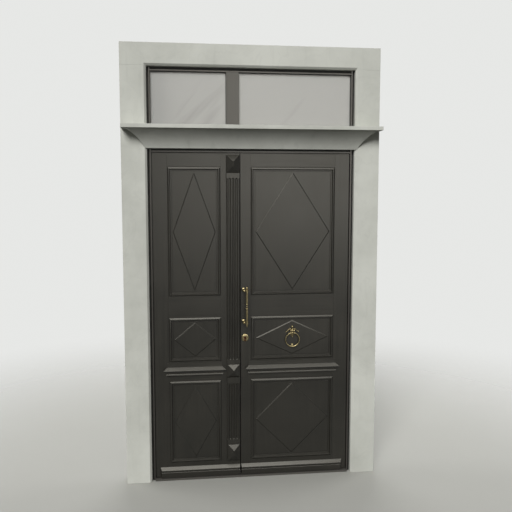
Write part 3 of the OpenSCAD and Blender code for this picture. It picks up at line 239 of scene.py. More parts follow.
def turned(profile, centre, axis=(0, 0, 1), turns=48):
    """Surface of revolution: each profile point (radius, height) goes round the axis from the centre."""
    profile = np.asarray(profile, float)
    along = np.asarray(axis, float)
    side = np.cross(along, (1, 0, 0) if abs(along[0]) < 0.9 else (0, 1, 0))
    side /= np.linalg.norm(side)
    other = np.cross(along, side)
    a = np.linspace(0, 2 * np.pi, turns, endpoint=False)
    around = np.cos(a)[:, None] * side + np.sin(a)[:, None] * other
    grid = profile[:, None, :1] * around[None] + profile[:, None, 1:] * along + np.asarray(centre, float)
    return grid, True, False


def tube(path, radii, turns=16):
    """Capped tube round a path of points: a ring of its own radius, square to the path, at each point."""
    path = np.asarray(path, float)
    run = np.gradient(path, axis=0)
    run /= np.linalg.norm(run, axis=1)[:, None]
    side = np.cross(run, (0, 1, 0))
    side /= np.linalg.norm(side, axis=1)[:, None]
    other = np.cross(run, side)
    a = np.linspace(0, 2 * np.pi, turns, endpoint=False)
    ring = np.cos(a)[None, :, None] * side[:, None] + np.sin(a)[None, :, None] * other[:, None]
    return path[:, None] + np.asarray(radii, float)[:, None, None] * ring, True, True


def ball(centre, radius, turns=24):
    """Sphere, or ellipsoid for three radii: half a unit circle turned round Z, stretched and moved."""
    t = np.linspace(-np.pi / 2, np.pi / 2, turns // 2 + 1)
    unit, wrap, capped = turned(np.stack([np.cos(t), np.sin(t)], 1), (0, 0, 0), turns=turns)
    return unit * np.broadcast_to(radius, 3) + np.asarray(centre, float), wrap, capped


def bend(start, corner, end, steps=9):
    """Points of a quadratic curve from start to end that is drawn towards the corner."""
    t = np.linspace(0, 1, steps)[:, None]
    return (1 - t) ** 2 * np.array(start) + 2 * t * (1 - t) * np.array(corner) + t * t * np.array(end)


def frame_ring(profile, low, high):
    """Moulding round a rectangle in X and Z: each profile point (depth, inset) is a mitred ring."""
    y, inset = np.asarray(profile, float).T
    x0, x1 = low[0] + inset, high[0] - inset
    z0, z1 = low[1] + inset, high[1] - inset
    corners = [(x0, z0), (x1, z0), (x1, z1), (x0, z1)]
    rings = np.stack([np.stack([x, y, z], 1) for x, z in corners], 1)
    return np.concatenate([rings, rings[:1]]), True, False


def panel_opening(leaf, above, below):
    """Lower left and upper right corner, in X and Z, of the opening between two rails of a leaf."""
    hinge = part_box(f"{leaf}_hinge_stile")
    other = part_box("left_meeting_stile" if leaf == "left" else "right_lock_stile")
    x0, x1 = sorted([hinge, other], key=lambda b: b[0].x)
    return (x0[1].x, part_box(f"{leaf}_{below}")[1].z), (x1[0].x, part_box(f"{leaf}_{above}")[0].z)


def knocker_pivot(size):
    """Point that the knocker ring swings round: the middle of the ball at the top of its solid."""
    low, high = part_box("knocker_ring")
    return (low.x + high.x) / 2, (low.y + high.y) / 2, high.z - size.ring_ball


# Finishes


def limestone(look):
    """Honed limestone: matt and close-grained, which gives soft clouds, hair veins and faint rain marks."""
    finish, tree, shader, coords = start_material("honed_limestone")
    cloud = add(tree, "ShaderNodeTexNoise",
                {"Vector": coords, "Scale": per(450), "Detail": 5, "Roughness": 0.6})
    wide = add(tree, "ShaderNodeMapRange", {"Value": cloud.outputs[0], "From Min": 0.38, "From Max": 0.72})
    body = add(tree, "ShaderNodeMix", {0: wide.outputs[0], 6: look.stone, 7: look.stone_cloud},
               data_type="RGBA")
    # A vein runs where a warped noise crosses its middle value
    warp = add(tree, "ShaderNodeTexNoise",
               {"Vector": coords, "Scale": per(300), "Detail": 7, "Roughness": 0.55, "Distortion": 1.2})
    off = add(tree, "ShaderNodeMath", {0: warp.outputs[0], 1: 0.5}, operation="SUBTRACT")
    near = add(tree, "ShaderNodeMath", {0: off.outputs[0]}, operation="ABSOLUTE")
    vein = add(tree, "ShaderNodeMapRange",
               {"Value": near.outputs[0], "From Min": 0.0, "From Max": 0.022, "To Min": 0.09, "To Max": 0.0})
    veined = add(tree, "ShaderNodeMix", {0: vein.outputs[0], 6: body.outputs[2], 7: look.stone_vein},
                 data_type="RGBA")
    # Rain marks are 60 mm wide and 700 mm long
    fall = add(tree, "ShaderNodeMapping", {"Vector": coords, "Scale": (per(60), per(60), per(700))})
    rain = add(tree, "ShaderNodeTexNoise", {"Vector": fall.outputs[0], "Scale": 1, "Detail": 3})
    mark = add(tree, "ShaderNodeMapRange",
               {"Value": rain.outputs[0], "From Min": 0.58, "From Max": 0.78, "To Max": 0.25})
    marked = add(tree, "ShaderNodeMix", {0: mark.outputs[0], 6: veined.outputs[2], 7: look.stone_vein},
                 data_type="RGBA")
    # Grit of 1 mm is drawn at 5 mm, so that it shows at this distance
    grit = add(tree, "ShaderNodeTexNoise", {"Vector": coords, "Scale": per(5), "Detail": 2})
    speck = add(tree, "ShaderNodeMapRange",
                {"Value": grit.outputs[0], "From Min": 0.3, "From Max": 0.7, "To Max": 0.12})
    stone = add(tree, "ShaderNodeMix", {0: speck.outputs[0], 6: marked.outputs[2], 7: look.stone_cloud},
                data_type="RGBA")
    rough = add(tree, "ShaderNodeMapRange", {"Value": cloud.outputs[0], "To Min": 0.5, "To Max": 0.75})
    bump = add(tree, "ShaderNodeBump", {"Height": grit.outputs[0], "Strength": 0.12, "Distance": 0.6 * MM})
    tree.links.new(stone.outputs[2], shader.inputs["Base Color"])
    shader.inputs["Specular IOR Level"].default_value = 0.12
    tree.links.new(rough.outputs[0], shader.inputs["Roughness"])
    tree.links.new(bump.outputs[0], shader.inputs["Normal"])
    return finish


def painted_timber(name, body, worn, along, gloss):
    """Satin paint brushed over close-grained timber: fine ridges along the grain and a sheen that varies."""
    finish, tree, shader, coords = start_material(name)
    # Grain 2 mm wide is drawn at 7 mm, so that it shows at this distance
    scale = [per(7)] * 3
    scale[along] = per(350)
    lie = add(tree, "ShaderNodeMapping", {"Vector": coords, "Scale": scale})
    grain = add(tree, "ShaderNodeTexNoise",
                {"Vector": lie.outputs[0], "Scale": 1, "Detail": 4, "Roughness": 0.6})
    patch = add(tree, "ShaderNodeTexNoise",
                {"Vector": coords, "Scale": per(400), "Detail": 4, "Roughness": 0.6})
    both = add(tree, "ShaderNodeMath", {0: grain.outputs[0], 1: patch.outputs[0]}, operation="MULTIPLY")
    share = add(tree, "ShaderNodeMapRange", {"Value": both.outputs[0], "From Min": 0.14, "From Max": 0.42})
    paint = add(tree, "ShaderNodeMix", {0: share.outputs[0], 6: body, 7: worn}, data_type="RGBA")
    rough = add(tree, "ShaderNodeMapRange", {"Value": both.outputs[0], "From Min": 0.1, "From Max": 0.4,
                                             "To Min": 0.3, "To Max": 0.44})
    bump = add(tree, "ShaderNodeBump", {"Height": grain.outputs[0], "Strength": 0.15, "Distance": 0.4 * MM})
    tree.links.new(paint.outputs[2], shader.inputs["Base Color"])
    shader.inputs["Specular IOR Level"].default_value = gloss
    tree.links.new(rough.outputs[0], shader.inputs["Roughness"])
    tree.links.new(bump.outputs[0], shader.inputs["Normal"])
    return finish


def cast_metal(name, bright, aged):
    """Cast metal, polished and then handled: soft highlights, browner and duller in patches."""
    finish, tree, shader, coords = start_material(name)
    patch = add(tree, "ShaderNodeTexNoise",
                {"Vector": coords, "Scale": per(18), "Detail": 4, "Roughness": 0.6})
    share = add(tree, "ShaderNodeMapRange",
                {"Value": patch.outputs[0], "From Min": 0.42, "From Max": 0.75, "To Max": 0.8})
    metal = add(tree, "ShaderNodeMix", {0: share.outputs[0], 6: bright, 7: aged}, data_type="RGBA")
    rough = add(tree, "ShaderNodeMapRange", {"Value": patch.outputs[0], "From Min": 0.3, "From Max": 0.7,
                                             "To Min": 0.26, "To Max": 0.42})
    bump = add(tree, "ShaderNodeBump", {"Height": patch.outputs[0], "Strength": 0.1, "Distance": 0.3 * MM})
    tree.links.new(metal.outputs[2], shader.inputs["Base Color"])
    tree.links.new(rough.outputs[0], shader.inputs["Roughness"])
    tree.links.new(bump.outputs[0], shader.inputs["Normal"])
    shader.inputs["Metallic"].default_value = 1.0
    return finish


def etched_glass(look):
    """Sealed unit: a nearly opaque body whose pale colour paints the reflection of a pale sky, under a clear
    gloss, with soft slanting streaks that paint reflections.
    """
    finish, tree, shader, coords = start_material("etched_glass")
    # Painted reflection streaks are 120 mm wide and about a metre long
    slant = add(tree, "ShaderNodeMapping", {"Vector": coords, "Rotation": (0, math.radians(42), 0),
                                            "Scale": (120 * MM, 1, 1)}, vector_type="TEXTURE")
    reflection_streak = add(tree, "ShaderNodeTexNoise",
                 {"Vector": slant.outputs[0], "Scale": 1, "Detail": 3, "Roughness": 0.5})
    share = add(tree, "ShaderNodeMapRange", {"Value": reflection_streak.outputs[0], "From Min": 0.58, "From Max": 0.8})
    body = add(tree, "ShaderNodeMix", {0: share.outputs[0], 6: look.glass, 7: look.glass_reflection_streak},
               data_type="RGBA")
    tree.links.new(body.outputs[2], shader.inputs["Base Color"])
    shader.inputs["Roughness"].default_value = 0.4
    shader.inputs["IOR"].default_value = 1.52
    shader.inputs["Transmission Weight"].default_value = 0.25
    shader.inputs["Coat Weight"].default_value = 0.7
    shader.inputs["Coat Roughness"].default_value = 0.12
    return finish


def rubber(name, body):
    """EPDM rubber, or the near-black sealant at the bottom of a joint's groove, whose colour paints the
    groove's shade: matt black with a slight bloom.
    """
    finish, tree, shader, coords = start_material(name)
    bloom = add(tree, "ShaderNodeTexNoise", {"Vector": coords, "Scale": per(30), "Detail": 3})
    rough = add(tree, "ShaderNodeMapRange", {"Value": bloom.outputs[0], "To Min": 0.6, "To Max": 0.85})
    tree.links.new(rough.outputs[0], shader.inputs["Roughness"])
    shader.inputs["Base Color"].default_value = body
    return finish


def plated_steel(look):
    """Zinc-plated steel, brushed along its length: fine upright lines in a grey metal."""
    finish, tree, shader, coords = start_material("zinc_plated_steel")
    lie = add(tree, "ShaderNodeMapping", {"Vector": coords, "Scale": (per(1), per(1), per(80))})
    line = add(tree, "ShaderNodeTexNoise", {"Vector": lie.outputs[0], "Scale": 1, "Detail": 2})
    rough = add(tree, "ShaderNodeMapRange", {"Value": line.outputs[0], "To Min": 0.25, "To Max": 0.5})
    tree.links.new(rough.outputs[0], shader.inputs["Roughness"])
    shader.inputs["Base Color"].default_value = look.zinc
    shader.inputs["Metallic"].default_value = 1.0
    return finish


def threshold_plate(look):
    """Powder-coated aluminium plate: dark, finely ribbed along the doorway, scuffed by feet."""
    finish, tree, shader, coords = start_material("coated_aluminium")
    # Ribs are 5 mm apart, because a wave repeats about every third of a metre at a scale of 1
    rib = add(tree, "ShaderNodeTexWave", {"Vector": coords, "Scale": per(16), "Distortion": 0},
              bands_direction="Y", wave_profile="SIN")
    scuff = add(tree, "ShaderNodeTexNoise",
                {"Vector": coords, "Scale": per(120), "Detail": 5, "Roughness": 0.65})
    rough = add(tree, "ShaderNodeMapRange", {"Value": scuff.outputs[0], "To Min": 0.35, "To Max": 0.65})
    bump = add(tree, "ShaderNodeBump", {"Height": rib.outputs["Fac"], "Strength": 0.5, "Distance": 0.6 * MM})
    tree.links.new(rough.outputs[0], shader.inputs["Roughness"])
    tree.links.new(bump.outputs[0], shader.inputs["Normal"])
    shader.inputs["Base Color"].default_value = look.threshold
    return finish


def finish_named(name):
    """Finish that the finishes operator has made."""
    return bpy.data.materials[name]


# Operators


class DOOR_OT_stage(Operator):
    """Floor, backdrop, lamps and the camera at the photograph's place"""
    bl_idname = "door.stage"
    bl_label = "Studio stage"

    # Name, kind, place, aim, width and height, and power of each lamp
    LAMPS = (
        ("key_lamp", "SUN", (-1.7, -4.4, 4.1), (0.0, 0.0, 1.2), (0, 0), 3.44),
        ("front_card", "AREA", (2.4, -8.0, 2.9), (0.6, 0.0, 2.3), (6.5, 3.4), 218),
        ("top_card", "AREA", (-0.9, -3.3, 7.4), (0.0, -0.4, 0.7), (8.4, 8.4), 1180),
        ("left_lamp", "AREA", (-5.0, 1.4, 3.2), (-0.9, 0.0, 1.5), (2.5, 2.5), 110),
        ("right_lamp", "AREA", (5.0, 1.4, 3.2), (0.9, 0.0, 1.5), (2.5, 2.5), 110),
        ("rear_lamp", "AREA", (0.6, 5.0, 4.2), (0.0, 0.0, 1.4), (5.0, 3.0), 240))

    def execute(self, context):
        scene = context.scene
        scene.view_settings.view_transform = "Standard"
        self.lay_floor(scene)
        self.hang_backdrop(scene)
        self.place_lamps(scene)
        self.place_camera(scene)
        return {"FINISHED"}

    @staticmethod
    def lay_floor(scene):
        """Plain pale floor, a flat grid of one face."""
        reach = 14.0
        ends = np.array([-reach, reach])
        ground = np.stack(np.broadcast_arrays(ends[None, :], ends[:, None], 0.0), -1)
        mesh = bpy.data.meshes.new("studio_floor")
        mesh.from_pydata(ground.reshape(-1, 3).tolist(), [], grid_faces(2, 2, False).tolist())
        finish, tree, shader, coords = start_material("studio_floor")
        dust = add(tree, "ShaderNodeTexNoise", {"Vector": coords, "Scale": per(600), "Detail": 4})
        rough = add(tree, "ShaderNodeMapRange", {"Value": dust.outputs[0], "To Min": 0.7, "To Max": 0.9})
        tree.links.new(rough.outputs[0], shader.inputs["Roughness"])
        # The floor throws less light back at the door than it shows
        shown, thrown = linear("#9d9d98"), linear("#383a36")
        path = add(tree, "ShaderNodeLightPath")
        bounce = add(tree, "ShaderNodeMix", {0: path.outputs["Is Diffuse Ray"], 6: shown, 7: thrown},
                     data_type="RGBA")
        tree.links.new(bounce.outputs[2], shader.inputs["Base Color"])
        # The floor fades into the background between two distances from the door
        whole, gone = 1.5, 5.0
        away = add(tree, "ShaderNodeVectorMath", {0: coords}, operation="LENGTH")
        fade = add(tree, "ShaderNodeMapRange",
                   {"Value": away.outputs["Value"], "From Min": whole, "From Max": gone},
                   interpolation_type="SMOOTHSTEP")
        clear = add(tree, "ShaderNodeBsdfTransparent")
        mixed = add(tree, "ShaderNodeMixShader",
                    {0: fade.outputs[0], 1: shader.outputs[0], 2: clear.outputs[0]})
        tree.links.new(mixed.outputs[0], tree.nodes["Material Output"].inputs["Surface"])
        mesh.materials.append(finish)
        floor = bpy.data.objects.new("studio_floor", mesh)
        scene.collection.objects.link(floor)

    @staticmethod
    def hang_backdrop(scene):
        """Pale world that the camera and the glass see bright, the gloss less so, and that lights little."""
        light, in_gloss, in_view = 0.11, 0.3, 0.88
        world = bpy.data.worlds.new("studio")
        world.use_nodes = True
        scene.world = world
        tree = world.node_tree
        tree.nodes.clear()
        path = add(tree, "ShaderNodeLightPath")
        seen = add(tree, "ShaderNodeMath",
                   {0: path.outputs["Is Camera Ray"], 1: path.outputs["Is Transmission Ray"]},
                   operation="MAXIMUM")
        strength = add(tree, "ShaderNodeMapRange",
                       {"Value": seen.outputs[0], "To Min": light, "To Max": in_view})
        gloss = add(tree, "ShaderNodeMath", {0: path.outputs["Is Glossy Ray"], 1: in_gloss},
                    operation="MULTIPLY")
        level = add(tree, "ShaderNodeMath", {0: strength.outputs[0], 1: gloss.outputs[0]},
                    operation="MAXIMUM")
        sky = add(tree, "ShaderNodeBackground", {"Color": linear("#f4f5f3"), "Strength": level.outputs[0]})
        add(tree, "ShaderNodeOutputWorld", {"Surface": sky.outputs[0]})

    def place_lamps(self, scene):
        """A soft distant lamp lights the street side evenly; the warmer cards show in the gloss alone."""
        key_spread = math.radians(26)
        for name, kind, place, aim, size, power in self.LAMPS:
            lamp = bpy.data.lights.new(name, kind)
            lamp.energy = power
            if kind == "SUN":
                lamp.angle = key_spread
            else:
                lamp.shape = "RECTANGLE"
                lamp.size, lamp.size_y = size
            stand = bpy.data.objects.new(name, lamp)
            stand.location = place
            stand.rotation_euler = (Vector(aim) - Vector(place)).to_track_quat("-Z", "Y").to_euler()
            stand.visible_camera = False
            if name.endswith("card"):
                lamp.color = linear("#fffbef")[:3]
                stand.visible_diffuse = False
            stand.visible_glossy = kind != "SUN"
            scene.collection.objects.link(stand)

    @staticmethod
    def place_camera(scene):
        """Camera with the place, pitch, yaw and lens that fit the photograph."""
        pitch_down, yaw_right = 5.511, 6.743
        camera = bpy.data.cameras.new("photograph_camera")
        camera.sensor_width = 36
        camera.lens = 44.79
        view = bpy.data.objects.new("photograph_camera", camera)
        view.location = (-0.4917, -4.4028, 2.0055)
        view.rotation_euler = (math.radians(90 - pitch_down), 0, math.radians(-yaw_right))
        scene.collection.objects.link(view)
        scene.camera = view


class DOOR_OT_finishes(Operator):
    """Finish and rounded arrises for every solid that is carried over"""
    bl_idname = "door.finishes"
    bl_label = "Finishes of the solids"

    def execute(self, context):
        look, size = context.scene.door_colours, context.scene.door_sizes
        leaf, joinery = (look.leaf, look.leaf_worn), (look.joinery, look.joinery_worn)
        leaf_gloss, joinery_gloss = 0.5, 0.6
        made = {
            "dressed_stone": limestone(look),
            "leaf_paint": painted_timber("leaf_paint_upright", *leaf, GRAIN_UPRIGHT, leaf_gloss),
            "frame_paint": painted_timber("frame_paint_upright", *joinery, GRAIN_UPRIGHT, joinery_gloss),
            "polished_brass": cast_metal("cast_brass", look.brass, look.brass_aged),
            "dark_bronze": cast_metal("rubbed_bronze", look.bronze, look.bronze_aged),
            "fanlight_glass": etched_glass(look),
            "seal_rubber": rubber("epdm_rubber", look.rubber),
            "lock_steel": plated_steel(look),
            "threshold_metal": threshold_plate(look),
        }
        level = {
            "leaf_paint": painted_timber("leaf_paint_level", *leaf, GRAIN_ACROSS, leaf_gloss),
            "frame_paint": painted_timber("frame_paint_level", *joinery, GRAIN_ACROSS, joinery_gloss),
        }
        edges = {"dressed_stone": size.stone_edge, "leaf_paint": size.timber_edge,
                 "frame_paint": size.timber_edge}
        lying = ("rail", "weatherboard", "ledge", "head", "transom")
        for part in frame["record"]["subparts"]:
            node, slot = part["node"], part["material_slot"]
            across = slot in level and any(word in node for word in lying)
            dress(node, level[slot] if across else made[slot])
            if slot not in ("seal_rubber", "fanlight_glass"):
                width = size.panel_edge if "_panel" in node else edges.get(slot, size.metal_edge)
                soften(frame["nodes"][node], width)
        return {"FINISHED"}


class DOOR_OT_ledges(Operator):
    """Ledge moulding of each leaf: fillet, hollow, weathered nose and lower roll, returned at both ends"""
    bl_idname = "door.ledges"
    bl_label = "Ledge mouldings"

    def execute(self, context):
        size = context.scene.door_sizes
        for leaf in LEAVES:
            low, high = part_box(f"{leaf}_ledge_moulding")
            profile = self.profile(high.y - low.y, high.z - low.z)
            ledge = piece(f"{leaf}_run_ledge", [self.returned(profile, low, high)],
                          finish_named("leaf_paint_level"), f"{leaf}_leaf")
            soften(ledge, size.timber_edge)
            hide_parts(f"{leaf}_ledge_moulding")
        return {"FINISHED"}

    @staticmethod
    def profile(reach, height):
        """Profile from the top down, as reach from the leaf and height above the foot."""
        fillet, drop, neck = 5 * MM, 49 * MM, 5 * MM
        edge, under = height - fillet, height - drop
        return np.concatenate([
            [(0, height), (fillet, height), (fillet, edge)],
            bend((0.006, edge - 0.024), (0.0063, edge - 0.0255), (0.0095, edge - 0.027)),
            bend((reach - 0.003, under + 0.003), (reach, under + 0.001), (reach, under)),
            [(neck, under), (neck, 0.025)],
            bend((0.006, 0.0245), (0.0115, 0.021), (0.013, 0.011)),
            [(0.003, 0.004), (0.003, 0), (0, 0)]])

    @staticmethod
    def returned(profile, low, high):
        """Moulding with mitred returns: a rectangle, grown on three sides, for each profile point."""
        out, z = np.asarray(profile, float).T
        reach = high.y - low.y
        x0, x1 = low.x + reach - out, high.x - reach + out
        back, front = np.full_like(out, high.y), high.y - out
        corners = [(x0, back), (x0, front), (x1, front), (x1, back)]
        return np.stack([np.stack([x, y, z + low.z], 1) for x, y in corners], 1), True, False


class DOOR_OT_pull_bar(Operator):
    """Turned bar of the pull handle, with smooth beads, a ball and a pointed foot"""
    bl_idname = "door.pull_bar"
    bl_label = "Pull handle bar"

    def execute(self, context):
        size = context.scene.door_sizes
        low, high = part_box("pull_handle_bar")
        centre = ((low.x + high.x) / 2, (low.y + high.y) / 2, low.z)
        profile = self.profile(size, high.z - low.z)
        bar = piece("pull_bar", [turned(profile, centre)], finish_named("cast_brass"),
                    "right_leaf")
        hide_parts("pull_handle_bar")
        return {"FINISHED"}

    @staticmethod
    def profile(size, full):
        """Profile from the foot up, as radius and height."""
        overlap = 1 * MM
        foot_end = size.bar_foot
        top_end = full - 2 * size.bar_ball + overlap
        middle = (foot_end + top_end) / 2
        # Foot: a point that swells to the bar
        t = np.linspace(0, 1, 40)
        foot_h = foot_end * t
        foot_r = size.bar_r * (1 - (1 - t) ** 1.6)
        # Shaft: the bar with a waist in the middle, and half-round beads on the waist and at its ends
        shaft_h = np.linspace(foot_end, top_end, 260)[1:]
        from_middle = shaft_h - middle
        shaft_r = np.where(np.abs(from_middle) < 4 * size.bar_bead_h, size.bar_waist, size.bar_r)
        for step, share in ((-3, 1.0), (0, 0.65), (3, 1.0)):
            u = (from_middle / size.bar_bead_h - step) / share
            bead_r = share * (size.bar_r + size.bar_bead) * np.sqrt(np.clip(1 - u * u, 0, 1))
            shaft_r = np.maximum(shaft_r, bead_r)
        # Ball: from its neck round to the pole
        a = np.radians(np.linspace(-54, 90, 30))
        ball_r, ball_h = size.bar_ball * np.cos(a), full - size.bar_ball + size.bar_ball * np.sin(a)
        radii = np.concatenate([foot_r, shaft_r, ball_r])
        heights = np.concatenate([foot_h, shaft_h, ball_h])
        return np.stack([radii, heights], 1)


class DOOR_OT_knocker(Operator):
    """Knocker ring with a swelling grip between collars, hung from its ball and trunnions"""
    bl_idname = "door.knocker"
    bl_label = "Knocker"

    def execute(self, context):
        size = context.scene.door_sizes
        x, y, pivot = knocker_pivot(size)
        # The solid's grip reaches 7 mm below the ring's centre line
        centre = np.array([x, y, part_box("knocker_ring")[0].z + 7 * MM + size.ring_r])
        neck = MM * np.array([(0, -16), (4.2, -16), (3.6, -12), (4.8, -9), (3.6, -6), (3.6, 0)])
        pin = MM * np.array([(0, -15), (3, -15), (3, 15), (0, 15)])
        hoop = piece("knocker_hoop", [
            self.ring(size, centre), turned(neck, (x, y, pivot)), ball((x, y, pivot), size.ring_ball),
            ball((x, y, centre[2] + size.ring_r), size.ring_boss),
            turned(pin, (x, y, pivot), axis=(1, 0, 0), turns=24)],
            finish_named("cast_brass"), "knocker_ring")
        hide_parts("knocker_ring")
        return {"FINISHED"}

    @staticmethod
    def ring(size, centre):
        """Torus whose section swells to the grip at the bottom, with a collar and a bead at each end."""
        # Angles from the ring's foot, in radians
        grip_end, collar_at, bead_at = 0.62, 0.66, 0.8
        a = np.linspace(0, 2 * np.pi, 145)
        from_foot = np.abs((a - 1.5 * np.pi + np.pi) % (2 * np.pi) - np.pi)
        swell = 0.5 + 0.5 * np.cos(np.clip(from_foot / grip_end, 0, 1) * np.pi)
        collar = np.exp(-((from_foot - collar_at) / 0.035) ** 2)
        bead = 0.6 * np.exp(-((from_foot - bead_at) / 0.03) ** 2)
        radius = size.ring_t + (size.ring_grip - size.ring_t) * swell + 1.2 * MM * (collar + bead)
        out = np.stack([np.cos(a), np.zeros_like(a), np.sin(a)], 1)
        b = np.linspace(0, 2 * np.pi, 24, endpoint=False)[None, :, None]
        section = np.cos(b) * out[:, None] + np.sin(b) * np.array([0, 1, 0])
        return (out * size.ring_r + centre)[:, None] + radius[:, None, None] * section, True, False


class DOOR_OT_knocker_crown(Operator):
    """Cast crown that carries the knocker: lobed plate, knob, scrolled arms, ears, drop and striking stud"""
    bl_idname = "door.knocker_crown"
    bl_label = "Knocker crown"
    # How far the arms' tips hang below the pivot
    TIP_DROP = 8 * MM

    def execute(self, context):
        size = context.scene.door_sizes
        x, y, pivot = knocker_pivot(size)
        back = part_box("knocker_plate")[1].y
        arm_y = back - 6 * MM
        stud_drop = 105 * MM
        sheets = [self.plate((x, back, pivot)),
                  turned(self.button(size.stud_r), (x, back, pivot - stud_drop), (0, -1, 0))]
        # Neck: a waisted stem 12 mm high, with the knob on it
        h = np.linspace(0, 1, 12)
        neck = MM * np.stack([5.8 - 2 * np.sin(np.pi * h), 12 * h], 1)
        sheets += [turned(neck, (x, arm_y, pivot + 10 * MM)),
                   ball((x, back - 7 * MM, pivot + 27 * MM), size.crown_knob)]
        ear = MM * np.array([(0, -2.8), (7.2, -2.8), (7.8, -2), (7.8, 2), (7.2, 2.8), (0, 2.8)])
        ear_at = 12.6 * MM
        for side in (-1, 1):
            sheets += [
                self.arm(size, (x, arm_y, pivot), side),
                ball((x + side * size.crown_reach, arm_y, pivot - self.TIP_DROP), 4.6 * MM),
                turned(ear, (x + side * ear_at, y, pivot), (1, 0, 0)),
                ball((x + side * ear_at, (y + back) / 2, pivot), (2.7 * MM, 8.8 * MM, 6 * MM)),
                ball((x + side * 12 * MM, back - 3 * MM, pivot - 33 * MM), 3.8 * MM)]
        # Drop: a long bulb below the plate, with a bead at its end
        sheets += [ball((x, back - 2 * MM, pivot - 28 * MM), (8.5 * MM, 5 * MM, 18 * MM)),
                   ball((x, back - 4 * MM, pivot - 46 * MM), 4.6 * MM)]
        crown = piece("knocker_crown", sheets, finish_named("cast_brass"), "right_leaf")
        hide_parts("knocker_plate")
        return {"FINISHED"}

    @staticmethod
    def plate(centre):
        """Lobed dome: the radius swells four times round, and the height falls off as a quarter circle."""
        radius, height, lobe = 15 * MM, 7 * MM, 0.2
        a = np.linspace(0, 2 * np.pi, 96, endpoint=False)[None, :]
        share = np.concatenate([np.linspace(0, 1, 4), np.cos(np.linspace(0, np.pi / 2, 14))])[:, None]
        rise = np.concatenate([np.zeros(4), np.sin(np.linspace(0, np.pi / 2, 14))])[:, None]
        r = share * radius * (1 + lobe * np.cos(4 * a))
        grid = np.stack([r * np.cos(a), -height * rise + 0 * a, r * np.sin(a)], -1)
        return grid + np.asarray(centre), True, False

    @staticmethod
    def button(radius):
        """Profile of a domed button, as radius and height."""
        rim, dome = 3 * MM, 6 * MM
        t = np.linspace(0, np.pi / 2, 10)
        cap = np.stack([radius * np.cos(t), rim + dome * np.sin(t)], 1)
        return np.concatenate([[(0, 0), (radius, 0)], cap])

    @staticmethod
    def arm(size, centre, side):
        """Arm that rises from its tip and winds into a scroll: a line, then a tightening spiral."""
        straight, wound = 20, 60
        tip = np.array([size.crown_reach, -DOOR_OT_knocker_crown.TIP_DROP])
        eye = MM * np.array([15.3, 4.7])
        turn = np.radians(np.linspace(51, 430, wound))
        wind = MM * np.linspace(7.5, 2.2, wound)
        scroll = eye + wind[:, None] * np.stack([np.cos(turn), np.sin(turn)], 1)
        line = tip + np.linspace(0, 1, straight, endpoint=False)[:, None] * (scroll[0] - tip)
        flat = np.concatenate([line, scroll])
        thick = MM * np.concatenate([np.linspace(2.6, 3.6, straight), np.linspace(3.6, 1.8, wound)])
        path = np.stack([side * flat[:, 0], np.zeros(len(flat)), flat[:, 1]], 1) + np.asarray(centre)
        return tube(path, thick)


class DOOR_OT_screws(Operator):
    """Slotted countersunk screws in the hinge flaps, strike plate, lock plate and bolt plates"""
    bl_idname = "door.screws"
    bl_label = "Screws"

    def execute(self, context):
        size = context.scene.door_sizes
        brass = finish_named("cast_brass")
        # Hinge flaps: four hinges up each side, and four staggered screws in a flap
        rebate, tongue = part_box("frame_transom")[1].x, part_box("right_hinge_stile")[1].x
        lowest, highest = 0.230, 2.080
        hinges = np.linspace(lowest, highest, 4)
        stagger = ((-0.038, 0.009), (-0.013, 0.022), (0.013, 0.009), (0.038, 0.022))
        spots = [(z + up, y) for z in hinges for up, y in stagger]
        for leaf, side in (("left", -1), ("right", 1)):
            piece(f"{leaf}_frame_screws", [self.head(size, (side * rebate, y, z), -side) for z, y in spots],
                  brass, "surround")
            piece(f"{leaf}_flap_screws", [self.head(size, (side * tongue, y, z), side) for z, y in spots],
                  brass, f"{leaf}_leaf")
        # Left leaf's edge: one screw at each end of the strike plate and of both bolt plates
        strike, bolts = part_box("strike_plate"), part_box("flush_bolt_plates")
        spots = self.ends(strike, (12 * MM,)) + self.ends(bolts, (10 * MM, 128 * MM))
        piece("meeting_edge_screws", [self.head(size, (strike[1].x, y, z), 1) for z, y in spots],
              brass, "left_leaf")
        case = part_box("lock_case")
        spots = self.ends(case, (10 * MM,))
        piece("lock_plate_screws", [self.head(size, (case[0].x, y, z), -1) for z, y in spots],
              finish_named("zinc_plated_steel"), "right_leaf")
        return {"FINISHED"}

    @staticmethod
    def ends(box, insets):
        """Places, as Z and Y, at each inset from the foot and then from the top of a plate's middle line."""
        low, high = box
        y = (low.y + high.y) / 2
        return [(low.z + inset, y) for inset in insets] + [(high.z - inset, y) for inset in insets]

    @staticmethod
    def head(size, place, side):
        """Screw head facing along X: a square grid pressed into a disc and domed, with the slot sunk."""
        proud, dome, slot = 0.2 * MM, 0.4 * MM, 0.6 * MM
        u = np.linspace(-1, 1, 15)
        u, v = np.meshgrid(u, u)
        a, b = u * np.sqrt(1 - v * v / 2), v * np.sqrt(1 - u * u / 2)
        rise = proud + dome * (1 - a * a - b * b) - slot * (np.abs(a) * size.screw_r < size.screw_slot / 2)
        y, z = place[1] + a * size.screw_r, place[2] + b * size.screw_r
        grid = np.stack([place[0] + side * rise, y, z], -1)
        return grid, False, False


class DOOR_OT_glazing_seal(Operator):
    """Dark rubber seal in the corner between the frame's lips and the panes"""
    bl_idname = "door.glazing_seal"
    bl_label = "Glazing seal"

    def execute(self, context):
        """A hollow triangle of the seal's width, carried round each pane where the lips end."""
        width = context.scene.door_sizes.glazing_seal
        hidden = 11 * MM
        sheets = []
        for side in LEAVES:
            low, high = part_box(f"fanlight_glass_{side}")
            profile = np.array([(0, 0), (-0.6, 0), (-0.45, 0.35), (-0.15, 0.8), (0, 1)]) * width + (low.y, 0)
            inner = (low.x + hidden, low.z + hidden), (high.x - hidden, high.z - hidden)
            sheets.append(frame_ring(profile, *inner))
        piece("glazing_seal", sheets, finish_named("epdm_rubber"), "surround")
        return {"FINISHED"}


